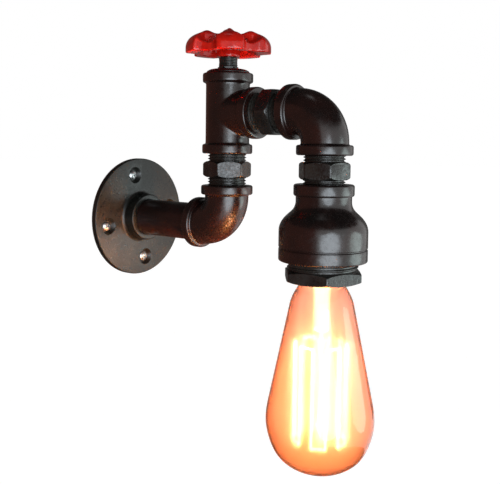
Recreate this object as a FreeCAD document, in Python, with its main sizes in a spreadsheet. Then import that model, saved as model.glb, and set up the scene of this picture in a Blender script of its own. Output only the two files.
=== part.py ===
import FreeCAD, Part
import Sketcher
import math
import os

# Wall sconce made of screwed pipe fittings, with a rotary dimmer and an arm that swings on its riser.
# Millimetres. The origin is the centre of the wall flange's back face. The wall is the plane y = 0,
# the lamp stands out along -Y, and +Z is up.

Vector = FreeCAD.Vector
Rotation = FreeCAD.Rotation

# Ways in which a piece's own +Z can point
UP = Rotation()
DOWN = Rotation(Vector(1, 0, 0), 180)
OUT = Rotation(Vector(1, 0, 0), 90)
BACK = Rotation(Vector(1, 0, 0), -90)

DRIVING_SIZES = {
    # Pipe and screwed joints
    "pipe_radius": (12.4, "pipe, and crest of its thread"),
    "pipe_bore": (9.6, "radius of the hole through a nipple"),
    "nipple_end_bevel": (1.0, "bevel on a nipple's ends"),
    "engagement": (11.0, "length of thread inside a fitting"),
    "joint_gap": (0.05, "radial gap in a fixed screwed joint"),
    "swing_gap": (0.08, "radial running gap of the swivelling thread"),
    "hex_flats": (27.3, "across flats of a nipple's hexagon"),
    "hex_height": (10.2, "height of a nipple's hexagon"),
    "hex_corner_cut": (1.0, "height of the bevel on a hexagon's corners"),
    # Elbows and tee
    "centre_to_end": (25.7, "fitting, crossing of its axes to its end face"),
    "fitting_radius": (14.1, "outside of a fitting between its bands"),
    "elbow_band_radius": (16.7, "outside of an elbow's end bands"),
    "tee_band_radius": (16.2, "outside of the tee's end bands"),
    "band_width": (6.1, "width of an end band"),
    "band_bevel": (0.8, "bevel on a band's edges"),
    "bend_radius": (18.5, "centreline of an elbow's bend"),
    "core_radius": (9.5, "passage through a fitting"),
    "core_step": (0.4, "how much narrower an elbow's slanting run is"),
    "socket_depth": (13.0, "depth of a fitting's threaded socket"),
    # Wall flange and its screws
    "flange_radius": (41.4, "wall flange"),
    "flange_rim": (4.1, "thickness of the flange's plate"),
    "flange_bevel": (0.7, "bevel on the plate's edge"),
    "flange_foot_radius": (17.6, "foot of the flange's hub"),
    "flange_foot_height": (1.5, "rise of the hub's foot above the plate"),
    "hub_radius": (16.1, "flange's hub"),
    "flange_height": (13.2, "wall to the hub's face"),
    "hub_bevel": (0.9, "bevel on the hub's edge"),
    "screw_circle": (30.0, "radius of the circle of fixing holes"),
    "screw_count": (4, "number of fixing holes"),
    "first_screw_angle": (10.0, "angle of the first hole above +X, in degrees"),
    "screw_hole": (2.6, "radius of a fixing hole"),
    "countersink": (5.85, "radius of a hole's countersink at the plate's face"),
    "screw_shank": (1.75, "radius of a wall screw"),
    "screw_head": (3.5, "radius of a wall screw's head"),
    "screw_dome": (1.5, "rise of a screw's domed head"),
    "screw_grip": (7.0, "length of screw behind the plate"),
    "screw_tip": (0.3, "radius of a screw's blunt tip"),
    "screw_point": (1.5, "length of a screw's point"),
    # Where the fittings stand
    "riser_reach": (84.55, "wall to the riser's axis"),
    "riser_thread_low": (5.1, "bare thread between lower elbow and hexagon"),
    "riser_thread_high": (4.9, "bare thread between hexagon and tee"),
    "branch_thread_in": (6.3, "bare thread between tee and hexagon"),
    "branch_thread_out": (5.9, "bare thread between hexagon and upper elbow"),
    "drop_thread_high": (3.9, "bare thread between upper elbow and hexagon"),
    "drop_thread_low": (2.6, "bare thread between hexagon and reducer"),
    "riser_hex_turn": (15.5, "turn of the riser's hexagon, in degrees"),
    "branch_hex_turn": (0.0, "turn of the branch's hexagon, in degrees"),
    "drop_hex_turn": (14.0, "turn of the drop's hexagon, in degrees"),
    # Plug on top of the tee
    "plug_radius": (13.8, "plug's rim"),
    "plug_rim": (0.7, "thickness of the plug's rim"),
    "plug_crown_radius": (11.6, "plug's top face"),
    "plug_height": (2.6, "tee's face to the plug's top"),
    "plug_skirt": (10.0, "length of the plug's thread"),
    "plug_cup": (10.6, "radius of the cup inside the plug"),
    "plug_web": (2.2, "thickness of the plug's top"),
    # Rotary dimmer
    "dimmer_radius": (9.2, "dimmer's can"),
    "dimmer_height": (15.0, "dimmer's can"),
    "can_gap": (0.1, "gap between can and cup, and round the bush"),
    "bush_radius": (3.7, "dimmer's threaded bush"),
    "bush_length": (6.8, "can's face to the bush's end"),
    "shaft_radius": (3.0, "dimmer's shaft"),
    "shaft_gap": (0.06, "radial running gap of the shaft"),
    "shaft_depth": (8.0, "length of shaft inside the can"),
    "terminal_width": (11.0, "terminal block"),
    "terminal_depth": (6.0, "terminal block"),
    "terminal_height": (4.5, "terminal block"),
    "nut_flats": (12.0, "across flats of the bush's nut"),
    "nut_height": (1.5, "bush's nut"),
    "nut_bevel": (0.4, "height of the bevel on the nut's corners"),
    "gland_radius": (6.1, "sleeve under the wheel"),
    "gland_height": (5.8, "sleeve under the wheel"),
    "gland_bevel": (0.6, "bevel on the sleeve's edges"),
    # Hand wheel
    "wheel_gap": (0.3, "running gap between sleeve and wheel"),
    "wheel_radius": (27.4, "centre to a lobe's tip"),
    "wheel_skirt": (2.7, "wheel's hub face to its rim's lower edge"),
    "wheel_height": (14.0, "wheel's hub face to its top"),
    "crown_drop": (0.3, "fall of the wheel's crown from its hub to its shoulder"),
    "wheel_flank": (2.6, "height of the rim's upright edge"),
    "wheel_shoulder": (8.3, "radius of the dome's shoulder arc"),
    "lobe_count": (5, "number of lobes"),
    "lobe_angle": (46.0, "angle of the first lobe from +X, in degrees"),
    "scallop_radius": (11.0, "finger scallop between two lobes"),
    "scallop_floor": (21.8, "centre to a scallop's floor"),
    "saddle_radius": (10.0, "hollow across the rim between two lobes"),
    "saddle_floor": (7.1, "wheel's hub face to the hollow's floor"),
    "saddle_lead_in": (2.0, "how far the hollow runs in past a window's outer end"),
    "rim_wall": (3.0, "wall of the rim"),
    "web_thickness": (3.2, "web between hub and rim"),
    "dish_cone": (5.5, "radial width of the cone inside the dish"),
    "hub_radius_low": (7.6, "wheel's hub below the web"),
    "window_inner": (10.2, "centre to a window's inner end"),
    "window_outer": (17.6, "centre to a window's outer end"),
    "window_inner_angle": (17.0, "half angle of a window's inner end, in degrees"),
    "window_outer_angle": (25.0, "half angle of a window's outer end, in degrees"),
    "cap_radius": (4.2, "domed nut on the shaft"),
    "cap_top_radius": (1.7, "flat on the domed nut"),
    "cap_height": (3.7, "domed nut"),
    "cap_arc": (3.0, "radius of the nut's dome"),
    "stud_radius": (2.0, "threaded end of the shaft"),
    "stud_length": (2.2, "threaded end of the shaft, inside the nut"),
    # Bell reducer, sizes measured down from its upper end
    "bell_top_radius": (17.8, "reducer's upper band"),
    "bell_top_width": (7.0, "reducer's upper band"),
    "bell_neck_radius": (16.4, "reducer's neck"),
    "bell_neck_end": (13.6, "end of the neck"),
    "bell_flare_radius": (23.4, "radius where the flare turns down"),
    "bell_flare_end": (20.0, "depth where the flare turns down"),
    "bell_shoulder": (4.5, "radius of the shoulder's arc"),
    "bell_radius": (26.1, "reducer's bell"),
    "bell_shoulder_end": (24.6, "depth where the bell turns upright"),
    "bell_groove": (0.5, "depth of the groove above the lower band"),
    "bell_groove_width": (0.8, "width of that groove"),
    "bell_band_width": (7.3, "reducer's lower band"),
    "bell_height": (45.0, "reducer"),
    "bell_mouth_radius": (20.95, "reducer's lower thread"),
    "bell_mouth_depth": (12.0, "length of the reducer's lower thread"),
    "bell_chamber_radius": (21.4, "chamber above the lower thread"),
    "bell_chamber_start": (24.6, "depth where the chamber turns upright"),
    "ledge_radius": (10.4, "hole through the reducer's inner ledge"),
    "ledge_thickness": (3.6, "reducer's inner ledge"),
    # Hexagon bushing
    "bushing_flats": (42.3, "across flats of the bushing"),
    "bushing_height": (7.1, "bushing's hexagon"),
    "bushing_thread": (5.0, "bare thread between reducer and hexagon"),
    "bushing_bore": (18.9, "radius of the bushing's hole"),
    "bushing_bevel": (0.9, "height of the bevel on the bushing's corners"),
    "bushing_turn": (21.0, "turn of the bushing's hexagon, in degrees"),
    # Lampholder and what it hangs on
    "washer_radius": (12.0, "washer on the reducer's ledge"),
    "washer_thickness": (1.5, "washer on the reducer's ledge"),
    "rod_radius": (4.95, "hollow threaded rod"),
    "rod_bore": (3.4, "wire hole through the rod"),
    "rod_length": (14.6, "hollow threaded rod"),
    "rod_flats": (14.0, "across flats of the rod's nut"),
    "rod_nut_height": (3.0, "rod's nut"),
    "holder_radius": (18.5, "porcelain lampholder"),
    "holder_height": (37.5, "porcelain lampholder"),
    "holder_skirt": (27.5, "straight part of the lampholder"),
    "holder_top_radius": (8.6, "lampholder's top"),
    "holder_recess": (0.9, "bushing's lower face to the lampholder's lower face"),
    "holder_web": (3.2, "web above the screw shell"),
    "holder_chamber": (9.0, "radius of the terminal chamber"),
    "holder_chamber_height": (4.0, "terminal chamber"),
    "shell_radius": (13.4, "inside of the screw shell"),
    "shell_wall": (0.5, "screw shell"),
    "shell_length": (25.9, "screw shell"),
    "shell_recess": (0.8, "lampholder's lower face to the shell's end"),
    "contact_thickness": (0.5, "centre contact strip"),
    "contact_width": (6.0, "centre contact strip"),
    "contact_length": (14.0, "centre contact strip"),
    "contact_gap": (0.05, "gap between contact strip and web, and under it"),
    "rivet_radius": (1.5, "centre contact's rivet"),
    "terminal_screw_radius": (1.2, "terminal screw's shank"),
    "terminal_screw_head": (2.1, "terminal screw's head"),
    "terminal_screw_spacing": (6.2, "lampholder's axis to a terminal screw"),
    # Bulb, sizes measured down from its contact
    "button_radius": (4.6, "cap's contact"),
    "button_tip_radius": (3.2, "flat on the cap's contact"),
    "button_height": (0.9, "cap's contact"),
    "glass_ring_radius": (7.4, "cap's insulator"),
    "glass_ring_height": (1.5, "cap's insulator"),
    "cap_shoulder": (4.6, "depth where the screw cap turns upright"),
    "screw_cap_radius": (13.1, "bulb's screw cap"),
    "screw_cap_wall": (0.4, "bulb's screw cap"),
    "screw_cap_end": (27.0, "depth of the screw cap's end"),
    "neck_radius": (12.5, "glass inside the cap"),
    "neck_start": (20.0, "depth where the glass starts"),
    "neck_cone_radius": (17.6, "glass where the neck's cone ends"),
    "neck_cone_height": (9.0, "neck's cone below the cap"),
    "shoulder_arc": (7.5, "radius of the arc between neck and flank"),
    "shoulder_height": (5.8, "height of that arc"),
    "flank_start_radius": (19.1, "upper end of the straight flank"),
    "flank_end_radius": (31.3, "lower end of the straight flank"),
    "flank_height": (59.5, "height of the straight flank"),
    "belly_radius": (32.0, "bulb at its widest"),
    "belly_drop": (9.2, "flank's lower end to the widest place"),
    "upper_belly_arc": (44.0, "radius of the arc above the widest place"),
    "lower_belly_arc": (33.0, "radius of the arc below the widest place"),
    "cheek_radius": (26.9, "bulb where its bottom starts to close"),
    "cheek_drop": (19.3, "widest place to where the bottom starts to close"),
    "bottom_arc": (21.5, "radius of the arc that closes the bottom"),
    "bottom_flat": (8.4, "radius of the flat at the bottom"),
    "bottom_drop": (10.8, "height of the closing bottom"),
    "glass_wall": (1.0, "bulb's glass"),
    "stem_flare": (11.2, "radius of the stem's flare"),
    "stem_radius": (4.2, "stem's tube"),
    "stem_flare_end": (32.0, "depth where the flare becomes a tube"),
    "stem_end": (56.0, "depth of the stem's pinch"),
    "stem_rod_radius": (1.3, "glass rod below the stem"),
    "stem_rod_tail": (2.5, "length of the glass rod below its lower bead"),
    "bead_radius": (2.2, "beads that hold the support wires"),
    "bead_height": (3.0, "beads that hold the support wires"),
    "cage_radius": (15.6, "circle of the filament's legs"),
    "cage_drop": (8.0, "stem's pinch to the cage's upper end"),
    "cage_height": (58.0, "filament cage"),
    "leg_count": (12, "legs of the filament cage"),
    "wire_radius": (0.3, "filament and its supports"),
    "wire_gap": (0.3, "gap between a support's hook and the filament"),
    # Fixture wires in their sleeve
    "lead_radius": (1.75, "sleeved fixture wires"),
    "lead_rest_gap": (0.3, "gap between the wires and the pipe they lie in"),
    "lead_split": (40.0, "height of the plane on which the wires meet, in the riser"),
}


class Size:
    """A length or a number together with its formula, so that what is drawn stays bound to the sheet."""

    def __init__(self, value, formula):
        self.value = float(value)
        self.formula = formula

    def __add__(self, other):
        other = as_size(other)
        return Size(self.value + other.value, f"({self.formula} + {other.formula})")

    def __sub__(self, other):
        other = as_size(other)
        return Size(self.value - other.value, f"({self.formula} - {other.formula})")

    def __mul__(self, other):
        other = as_size(other)
        return Size(self.value * other.value, f"({self.formula} * {other.formula})")

    def __truediv__(self, other):
        other = as_size(other)
        return Size(self.value / other.value, f"({self.formula} / {other.formula})")

    def __neg__(self):
        return Size(-self.value, f"(0 - {self.formula})")

    def __radd__(self, other):
        return as_size(other) + self

    def __rsub__(self, other):
        return as_size(other) - self

    def __rmul__(self, other):
        return as_size(other) * self

    def __rtruediv__(self, other):
        return as_size(other) / self


def as_size(number):
    return number if isinstance(number, Size) else Size(number, repr(float(number)))


def polar(radius, degrees, bend=None):
    """Point at a radius and an angle, with the radius of the arc that leads to it, if there is one."""
    point = (radius * cosine(degrees), radius * sine(degrees))
    return point if bend is None else (*point, bend)


def cosine(degrees):
    return Size(math.cos(math.radians(degrees.value)), f"cos({degrees.formula})")


def sine(degrees):
    return Size(math.sin(math.radians(degrees.value)), f"sin({degrees.formula})")


class Sheet:
    """The spreadsheet of driving sizes, and each size as an attribute."""

    def __init__(self, document, table):
        cells = document.addObject("Spreadsheet::Sheet", "Sizes")
        for row, (name, (value, meaning)) in enumerate(table.items(), start=1):
            cells.set(f"A{row}", name)
            cells.set(f"B{row}", str(value))
            cells.set(f"C{row}", meaning)
            cells.setAlias(f"B{row}", name)
            setattr(self, name, Size(value, f"Sizes.{name}"))


doc = FreeCAD.newDocument("WallSconce")
s = Sheet(doc, DRIVING_SIZES)
doc.recompute()
nodes = {}


def bind(thing, path, size):
    """Ties one property of an object to a formula of the sheet's cells."""
    thing.setExpression(path, as_size(size).formula)


def place(thing, seat=(0, 0, 0), way=UP, turn=0.0):
    """Puts a piece on its seat, with its own +Z along way and turned about that axis by turn degrees."""
    position = [as_size(length) for length in seat]
    rotation = way.multiply(Rotation(Vector(0, 0, 1), as_size(turn).value))
    thing.Placement = FreeCAD.Placement(Vector(*[length.value for length in position]), rotation)
    for axis, length in zip("xyz", position):
        bind(thing, f"Placement.Base.{axis}", length)
    return thing


def node(name, thing):
    """Registers a finished piece under the name it is written with."""
    thing.Label = name
    nodes[name] = thing
    return thing


def origin_plane(body, role):
    return next(item for item in body.Origin.OriginFeatures if item.Role == role)


def attach(sketch, body, role, height=0):
    """Lays a sketch on one of its body's own planes, raised by height."""
    sketch.AttachmentSupport = (origin_plane(body, role), [""])
    sketch.MapMode = "FlatFace"
    bind(sketch, "AttachmentOffset.Base.z", height)
    return sketch


def hold_point(sketch, geometry, end, point):
    """Constrains one end of a drawn element to a point given in sizes."""
    for axis, line, length in (("X", -2, as_size(point[0])), ("Y", -1, as_size(point[1]))):
        if length.value == 0:
            sketch.addConstraint(Sketcher.Constraint("PointOnObject", geometry, end, line))
        else:
            rule = Sketcher.Constraint(f"Distance{axis}", -1, 1, geometry, end, length.value)
            bind(sketch, f"Constraints[{sketch.addConstraint(rule)}]", length)


def arc_between(start, end, radius):
    """Arc from start to end. Its centre lies left of the way for a positive radius, else right."""
    chord = end - start
    middle = (start + end) * 0.5
    side = Vector(-chord.y, chord.x, 0).normalize()
    offset = math.sqrt(max(radius * radius - chord.Length * chord.Length / 4, 0.0))
    centre = middle + side * math.copysign(offset, radius)
    first, last = (start, end) if radius > 0 else (end, start)
    angles = [math.atan2(point.y - centre.y, point.x - centre.x) for point in (first, last)]
    circle = Part.Circle(centre, Vector(0, 0, 1), abs(radius))
    return Part.ArcOfCircle(circle, angles[0], angles[1])


def outline(sketch, points):
    """Closed outline through points. A point's third value is the radius of the arc that leads to it."""
    count = len(points)
    spots = [Vector(as_size(point[0]).value, as_size(point[1]).value, 0) for point in points]
    ends = []
    for index in range(count):
        following = (index + 1) % count
        bend = points[following][2] if len(points[following]) > 2 else None
        if bend is None:
            geometry = sketch.addGeometry(Part.LineSegment(spots[index], spots[following]), False)
            ends.append((geometry, 1, 2))
        else:
            bend = as_size(bend)
            arc = arc_between(spots[index], spots[following], bend.value)
            geometry = sketch.addGeometry(arc, False)
            ends.append((geometry, 1, 2) if bend.value > 0 else (geometry, 2, 1))
            rule = sketch.addConstraint(Sketcher.Constraint("Radius", geometry, abs(bend.value)))
            bind(sketch, f"Constraints[{rule}]", bend if bend.value > 0 else -bend)
    for index in range(count):
        geometry, first, last = ends[index]
        following, start, _ = ends[(index + 1) % count]
        sketch.addConstraint(Sketcher.Constraint("Coincident", geometry, last, following, start))
        hold_point(sketch, geometry, first, points[index])


def new_sketch(body, role, height=0):
    return attach(body.newObject("Sketcher::SketchObject", "Sketch"), body, role, height)


def revolve(body, kind, points):
    """Adds a Revolution, or cuts a Groove, of a half section given as radius and height."""
    sketch = new_sketch(body, "XZ_Plane")
    outline(sketch, points)
    feature = body.newObject(f"PartDesign::{kind}", kind)
    feature.Profile = sketch
    feature.ReferenceAxis = (sketch, ["V_Axis"])
    feature.Angle = 360
    body.Tip = feature
    return feature


def turned(name, points, seat=(0, 0, 0), way=UP):
    """A turned piece: a half section revolved about the body's own Z axis."""
    body = doc.addObject("PartDesign::Body", name)
    revolve(body, "Revolution", points)
    return place(body, seat, way)


def circle_sketch(body, centre, radius, height=0):
    sketch = new_sketch(body, "XY_Plane", height)
    middle = Vector(as_size(centre[0]).value, as_size(centre[1]).value, 0)
    drawn = sketch.addGeometry(Part.Circle(middle, Vector(0, 0, 1), as_size(radius).value), False)
    hold_point(sketch, drawn, 3, centre)
    rule = sketch.addConstraint(Sketcher.Constraint("Radius", drawn, radius.value))
    bind(sketch, f"Constraints[{rule}]", radius)
    return sketch


def cut_through(body, sketch):
    """Cuts a sketch right through its body, both ways."""
    pocket = body.newObject("PartDesign::Pocket", "Pocket")
    pocket.Profile = sketch
    pocket.Type = "ThroughAll"
    pocket.Midplane = True
    body.Tip = pocket
    return pocket


def around(body, features, count):
    """Repeats features evenly round the body's own Z axis."""
    pattern = body.newObject("PartDesign::PolarPattern", "Round")
    pattern.Originals = features
    pattern.Axis = (origin_plane(body, "Z_Axis"), [""])
    pattern.Angle = 360
    bind(pattern, "Occurrences", count)
    body.Tip = pattern
    return pattern


def cylinder(radius, height, seat=(0, 0, 0), way=UP):
    solid = doc.addObject("Part::Cylinder", "Cylinder")
    bind(solid, "Radius", radius)
    bind(solid, "Height", height)
    return place(solid, seat, way)


def joined(solids):
    fusion = doc.addObject("Part::MultiFuse", "Joined")
    fusion.Shapes = solids
    return fusion


def cut(base, tools):
    """Base with tools taken away."""
    result = doc.addObject("Part::Cut", "Cut")
    result.Base = base
    result.Tool = tools[0] if len(tools) == 1 else joined(tools)
    return result


def group(solids):
    compound = doc.addObject("Part::Compound", "Group")
    compound.Links = solids
    return compound


def disc(radius, height, bevel, seat=(0, 0, 0), way=UP):
    """A solid disc with both edges bevelled at 45 degrees."""
    return turned("Disc", [
        (0, 0), (radius - bevel, 0), (radius, bevel),
        (radius, height - bevel), (radius - bevel, height), (0, height),
    ], seat, way)


def hexagon(flats, height, bevel, turn, seat=(0, 0, 0)):
    """Hexagon prism on end, its corners bevelled by a turning cut at 30 degrees to the faces."""
    prism = doc.addObject("Part::Prism", "Prism")
    prism.Polygon = 6
    corner = flats / Size(math.sqrt(3), "sqrt(3)")
    bind(prism, "Circumradius", corner)
    bind(prism, "Height", height)
    place(prism, (0, 0, 0), UP, turn)
    reach = bevel * Size(math.sqrt(3), "sqrt(3)")
    turning = turned("Turning", [
        (0, 0), (corner - reach, 0), (corner, bevel),
        (corner, height - bevel), (corner - reach, height), (0, height),
    ])
    common = doc.addObject("Part::MultiCommon", "Hexagon")
    common.Shapes = [prism, turning]
    return place(common, seat)


def hex_nipple(name, bare_start, bare_end, turn, seat, way):
    """Hexagon nipple. Its own origin is on the face it comes out of, with that fitting below."""
    length = bare_start + s.hex_height + bare_end
    start = -s.engagement
    end = length + s.engagement
    bevel = s.nipple_end_bevel
    tube = turned("Thread", [
        (0, start), (s.pipe_radius - bevel, start), (s.pipe_radius, start + bevel),
        (s.pipe_radius, end - bevel), (s.pipe_radius - bevel, end), (0, end),
    ])
    grip = hexagon(s.hex_flats, s.hex_height, s.hex_corner_cut, turn, (0, 0, bare_start))
    bore = cylinder(s.pipe_bore, end - start, (0, 0, start))
    return node(name, place(cut(joined([tube, grip]), [bore]), seat, way))


def leg(radius, start, end, way):
    """Cylinder on an axis through the origin, from start to end along way."""
    direction = way.multVec(Vector(0, 0, 1))
    seat = [start * component if abs(component) > 0.5 else 0 for component in direction]
    return cylinder(radius, end - start, seat, way)


def band(radius, way):
    """Thick end band of a fitting, on the leg that points along way."""
    start = s.centre_to_end - s.band_width
    direction = way.multVec(Vector(0, 0, 1))
    seat = [start * round(component) if abs(component) > 0.5 else 0 for component in direction]
    return disc(radius, s.band_width, s.band_bevel, seat, way)


# Wall flange: cast disc with a hub that takes the pipe, fixed by countersunk screws

def make_wall_flange():
    body = doc.addObject("PartDesign::Body", "Flange")
    hole = s.pipe_radius + s.joint_gap
    revolve(body, "Revolution", [
        (hole, 0), (s.flange_radius, 0), (s.flange_radius, s.flange_rim - s.flange_bevel),
        (s.flange_radius - s.flange_bevel, s.flange_rim), (s.flange_foot_radius, s.flange_rim),
        (s.hub_radius, s.flange_rim + s.flange_foot_height), (s.hub_radius, s.flange_height - s.hub_bevel),
        (s.hub_radius - s.hub_bevel, s.flange_height), (hole, s.flange_height),
    ])
    centre = (s.screw_circle * cosine(s.first_screw_angle), s.screw_circle * sine(s.first_screw_angle))
    around(body, [cut_through(body, circle_sketch(body, centre, s.screw_hole))], s.screw_count)
    sink = body.newObject("PartDesign::SubtractiveCone", "Countersink")
    depth = s.countersink - s.screw_hole
    bind(sink, "Radius1", s.screw_hole)
    bind(sink, "Radius2", s.countersink)
    bind(sink, "Height", depth)
    for axis, length in zip("xyz", (*centre, s.flange_rim - depth)):
        bind(sink, f"Placement.Base.{axis}", length)
    body.Tip = sink
    around(body, [sink], s.screw_count)
    node("wall_flange", place(body, way=OUT))


# Raised countersunk wood screws: a head smaller than the sink, so it sits part way down

def make_wall_screws():
    head_depth = s.countersink - s.screw_head - s.can_gap
    cone = s.screw_head - s.screw_shank
    face = s.flange_rim - head_depth
    dome_arc = (s.screw_head * s.screw_head + s.screw_dome * s.screw_dome) / (2 * s.screw_dome)
    screws = []
    for index in range(int(s.screw_count.value)):
        angle = s.first_screw_angle + index * 360 / s.screw_count
        seat = (s.screw_circle * cosine(angle), 0, s.screw_circle * sine(angle))
        screws.append(turned("Screw", [
            (0, -s.screw_grip), (s.screw_tip, -s.screw_grip), (s.screw_shank, s.screw_point - s.screw_grip),
            (s.screw_shank, face - cone), (s.screw_head, face), (0, face + s.screw_dome, dome_arc),
        ], seat, OUT))
    node("wall_screws", group(screws))


# Straight pipe nipple between flange and lower elbow

def make_wall_nipple():
    start = s.flange_height - s.engagement
    end = s.riser_reach - s.centre_to_end + s.engagement
    bevel = s.nipple_end_bevel
    node("wall_nipple", turned("Pipe", [
        (s.pipe_bore, start), (s.pipe_radius - bevel, start), (s.pipe_radius, start + bevel),
        (s.pipe_radius, end - bevel), (s.pipe_radius - bevel, end), (s.pipe_bore, end),
    ], way=OUT))


# Banded elbow: one leg points back to the wall, the other along its own +Z

def make_elbow(name, seat, way):
    bend = doc.addObject("Part::Torus", "Bend")
    bind(bend, "Radius1", s.bend_radius)
    bind(bend, "Radius2", s.fitting_radius)
    bend.Angle3 = 90
    place(bend, (0, s.bend_radius, s.bend_radius),
          Rotation(Vector(0, 0, -1), Vector(0, -1, 0), Vector(-1, 0, 0), "XYZ"))
    body = [bend]
    for direction in (BACK, UP):
        body.append(leg(s.fitting_radius, s.bend_radius, s.centre_to_end, direction))
        body.append(band(s.elbow_band_radius, direction))
    # The passage turns in three straight runs, the slanting one a little narrower
    half_turn = Size(math.tan(math.radians(22.5)), "tan(22.5)")
    mitre = s.bend_radius * (1 - half_turn)
    lap = s.core_radius * half_turn
    root_two = Size(math.sqrt(2), "sqrt(2)")
    corner_shift = lap / root_two
    slant_length = mitre * root_two + 2 * lap
    slant_seat = (0, mitre + corner_shift, -corner_shift)
    passage = [
        leg(s.core_radius, mitre - lap, s.centre_to_end, BACK),
        leg(s.core_radius, mitre - lap, s.centre_to_end, UP),
        cylinder(s.core_radius - s.core_step, slant_length, slant_seat, Rotation(Vector(1, 0, 0), 45)),
    ]
    sockets = [leg(s.pipe_radius + s.joint_gap, s.centre_to_end - s.socket_depth, s.centre_to_end, direction)
               for direction in (BACK, UP)]
    return node(name, place(cut(joined(body), passage + sockets), seat, way))


# Banded tee: the run is upright, the branch points out, and its foot turns on the riser's thread

def make_control_tee(seat):
    body = []
    tools = []
    for direction, gap in ((UP, s.joint_gap), (DOWN, s.swing_gap), (OUT, s.joint_gap)):
        body.append(leg(s.fitting_radius, as_size(0), s.centre_to_end, direction))
        body.append(band(s.tee_band_radius, direction))
        tools.append(leg(s.core_radius, as_size(0), s.centre_to_end, direction))
        tools.append(leg(s.pipe_radius + gap, s.centre_to_end - s.socket_depth, s.centre_to_end, direction))
    node("control_tee", place(cut(joined(body), tools), seat))


# Plug in the tee's top: low crown outside, threaded skirt with a cup for the dimmer inside

def make_bonnet_plug(seat):
    hole = s.bush_radius + s.can_gap
    top = s.plug_height
    web = top - s.plug_web
    node("bonnet_plug", turned("Plug", [
        (hole, web), (s.plug_cup, web), (s.plug_cup, -s.plug_skirt), (s.pipe_radius, -s.plug_skirt),
        (s.pipe_radius, 0), (s.plug_radius, 0), (s.plug_radius, s.plug_rim),
        (s.plug_crown_radius, top), (hole, top),
    ], seat))


# Rotary dimmer: a can in the plug's cup and a threaded bush that the shaft turns in

def make_dimmer(can_top):
    hole = s.shaft_radius + s.shaft_gap
    node("dimmer_body", turned("Can", [
        (0, -s.dimmer_height), (s.dimmer_radius, -s.dimmer_height), (s.dimmer_radius, 0), (s.bush_radius, 0),
        (s.bush_radius, s.bush_length), (hole, s.bush_length), (hole, -s.shaft_depth - s.can_gap),
        (0, -s.shaft_depth - s.can_gap),
    ], (0, -s.riser_reach, can_top)))
    block = doc.addObject("Part::Box", "Block")
    bind(block, "Length", s.terminal_width)
    bind(block, "Width", s.terminal_depth)
    bind(block, "Height", s.terminal_height)
    node("dimmer_terminals", place(block, (
        -s.terminal_width / 2, -s.riser_reach - s.terminal_depth / 2,
        can_top - s.dimmer_height - s.terminal_height)))


# Hexagon nut that clamps the bush to the plug, and the sleeve between nut and wheel

def make_shaft_nut(seat):
    hole = cylinder(s.bush_radius + s.joint_gap, s.nut_height)
    grip = hexagon(s.nut_flats, s.nut_height, s.nut_bevel, 0)
    node("shaft_nut", place(cut(grip, [hole]), seat))


def make_gland_sleeve(seat):
    hole = s.bush_radius + s.joint_gap
    bevel = s.gland_bevel
    node("gland_sleeve", turned("Sleeve", [
        (hole, 0), (s.gland_radius, 0), (s.gland_radius, s.gland_height - bevel),
        (s.gland_radius - bevel, s.gland_height), (hole, s.gland_height),
    ], seat))


# Shaft of the dimmer, with a threaded end for the wheel's nut

def make_dimmer_shaft(can_top, wheel_base):
    foot = can_top - s.shaft_depth
    shoulder = wheel_base + s.wheel_height - s.can_gap
    node("dimmer_shaft", turned("Shaft", [
        (0, 0), (s.shaft_radius, 0), (s.shaft_radius, shoulder - foot), (s.stud_radius, shoulder - foot),
        (s.stud_radius, shoulder - foot + s.stud_length), (0, shoulder - foot + s.stud_length),
    ], (0, -s.riser_reach, foot)))


# Hand wheel: a cast dome whose rim is scalloped into lobes, hollow below, with a window between each two arms

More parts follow.
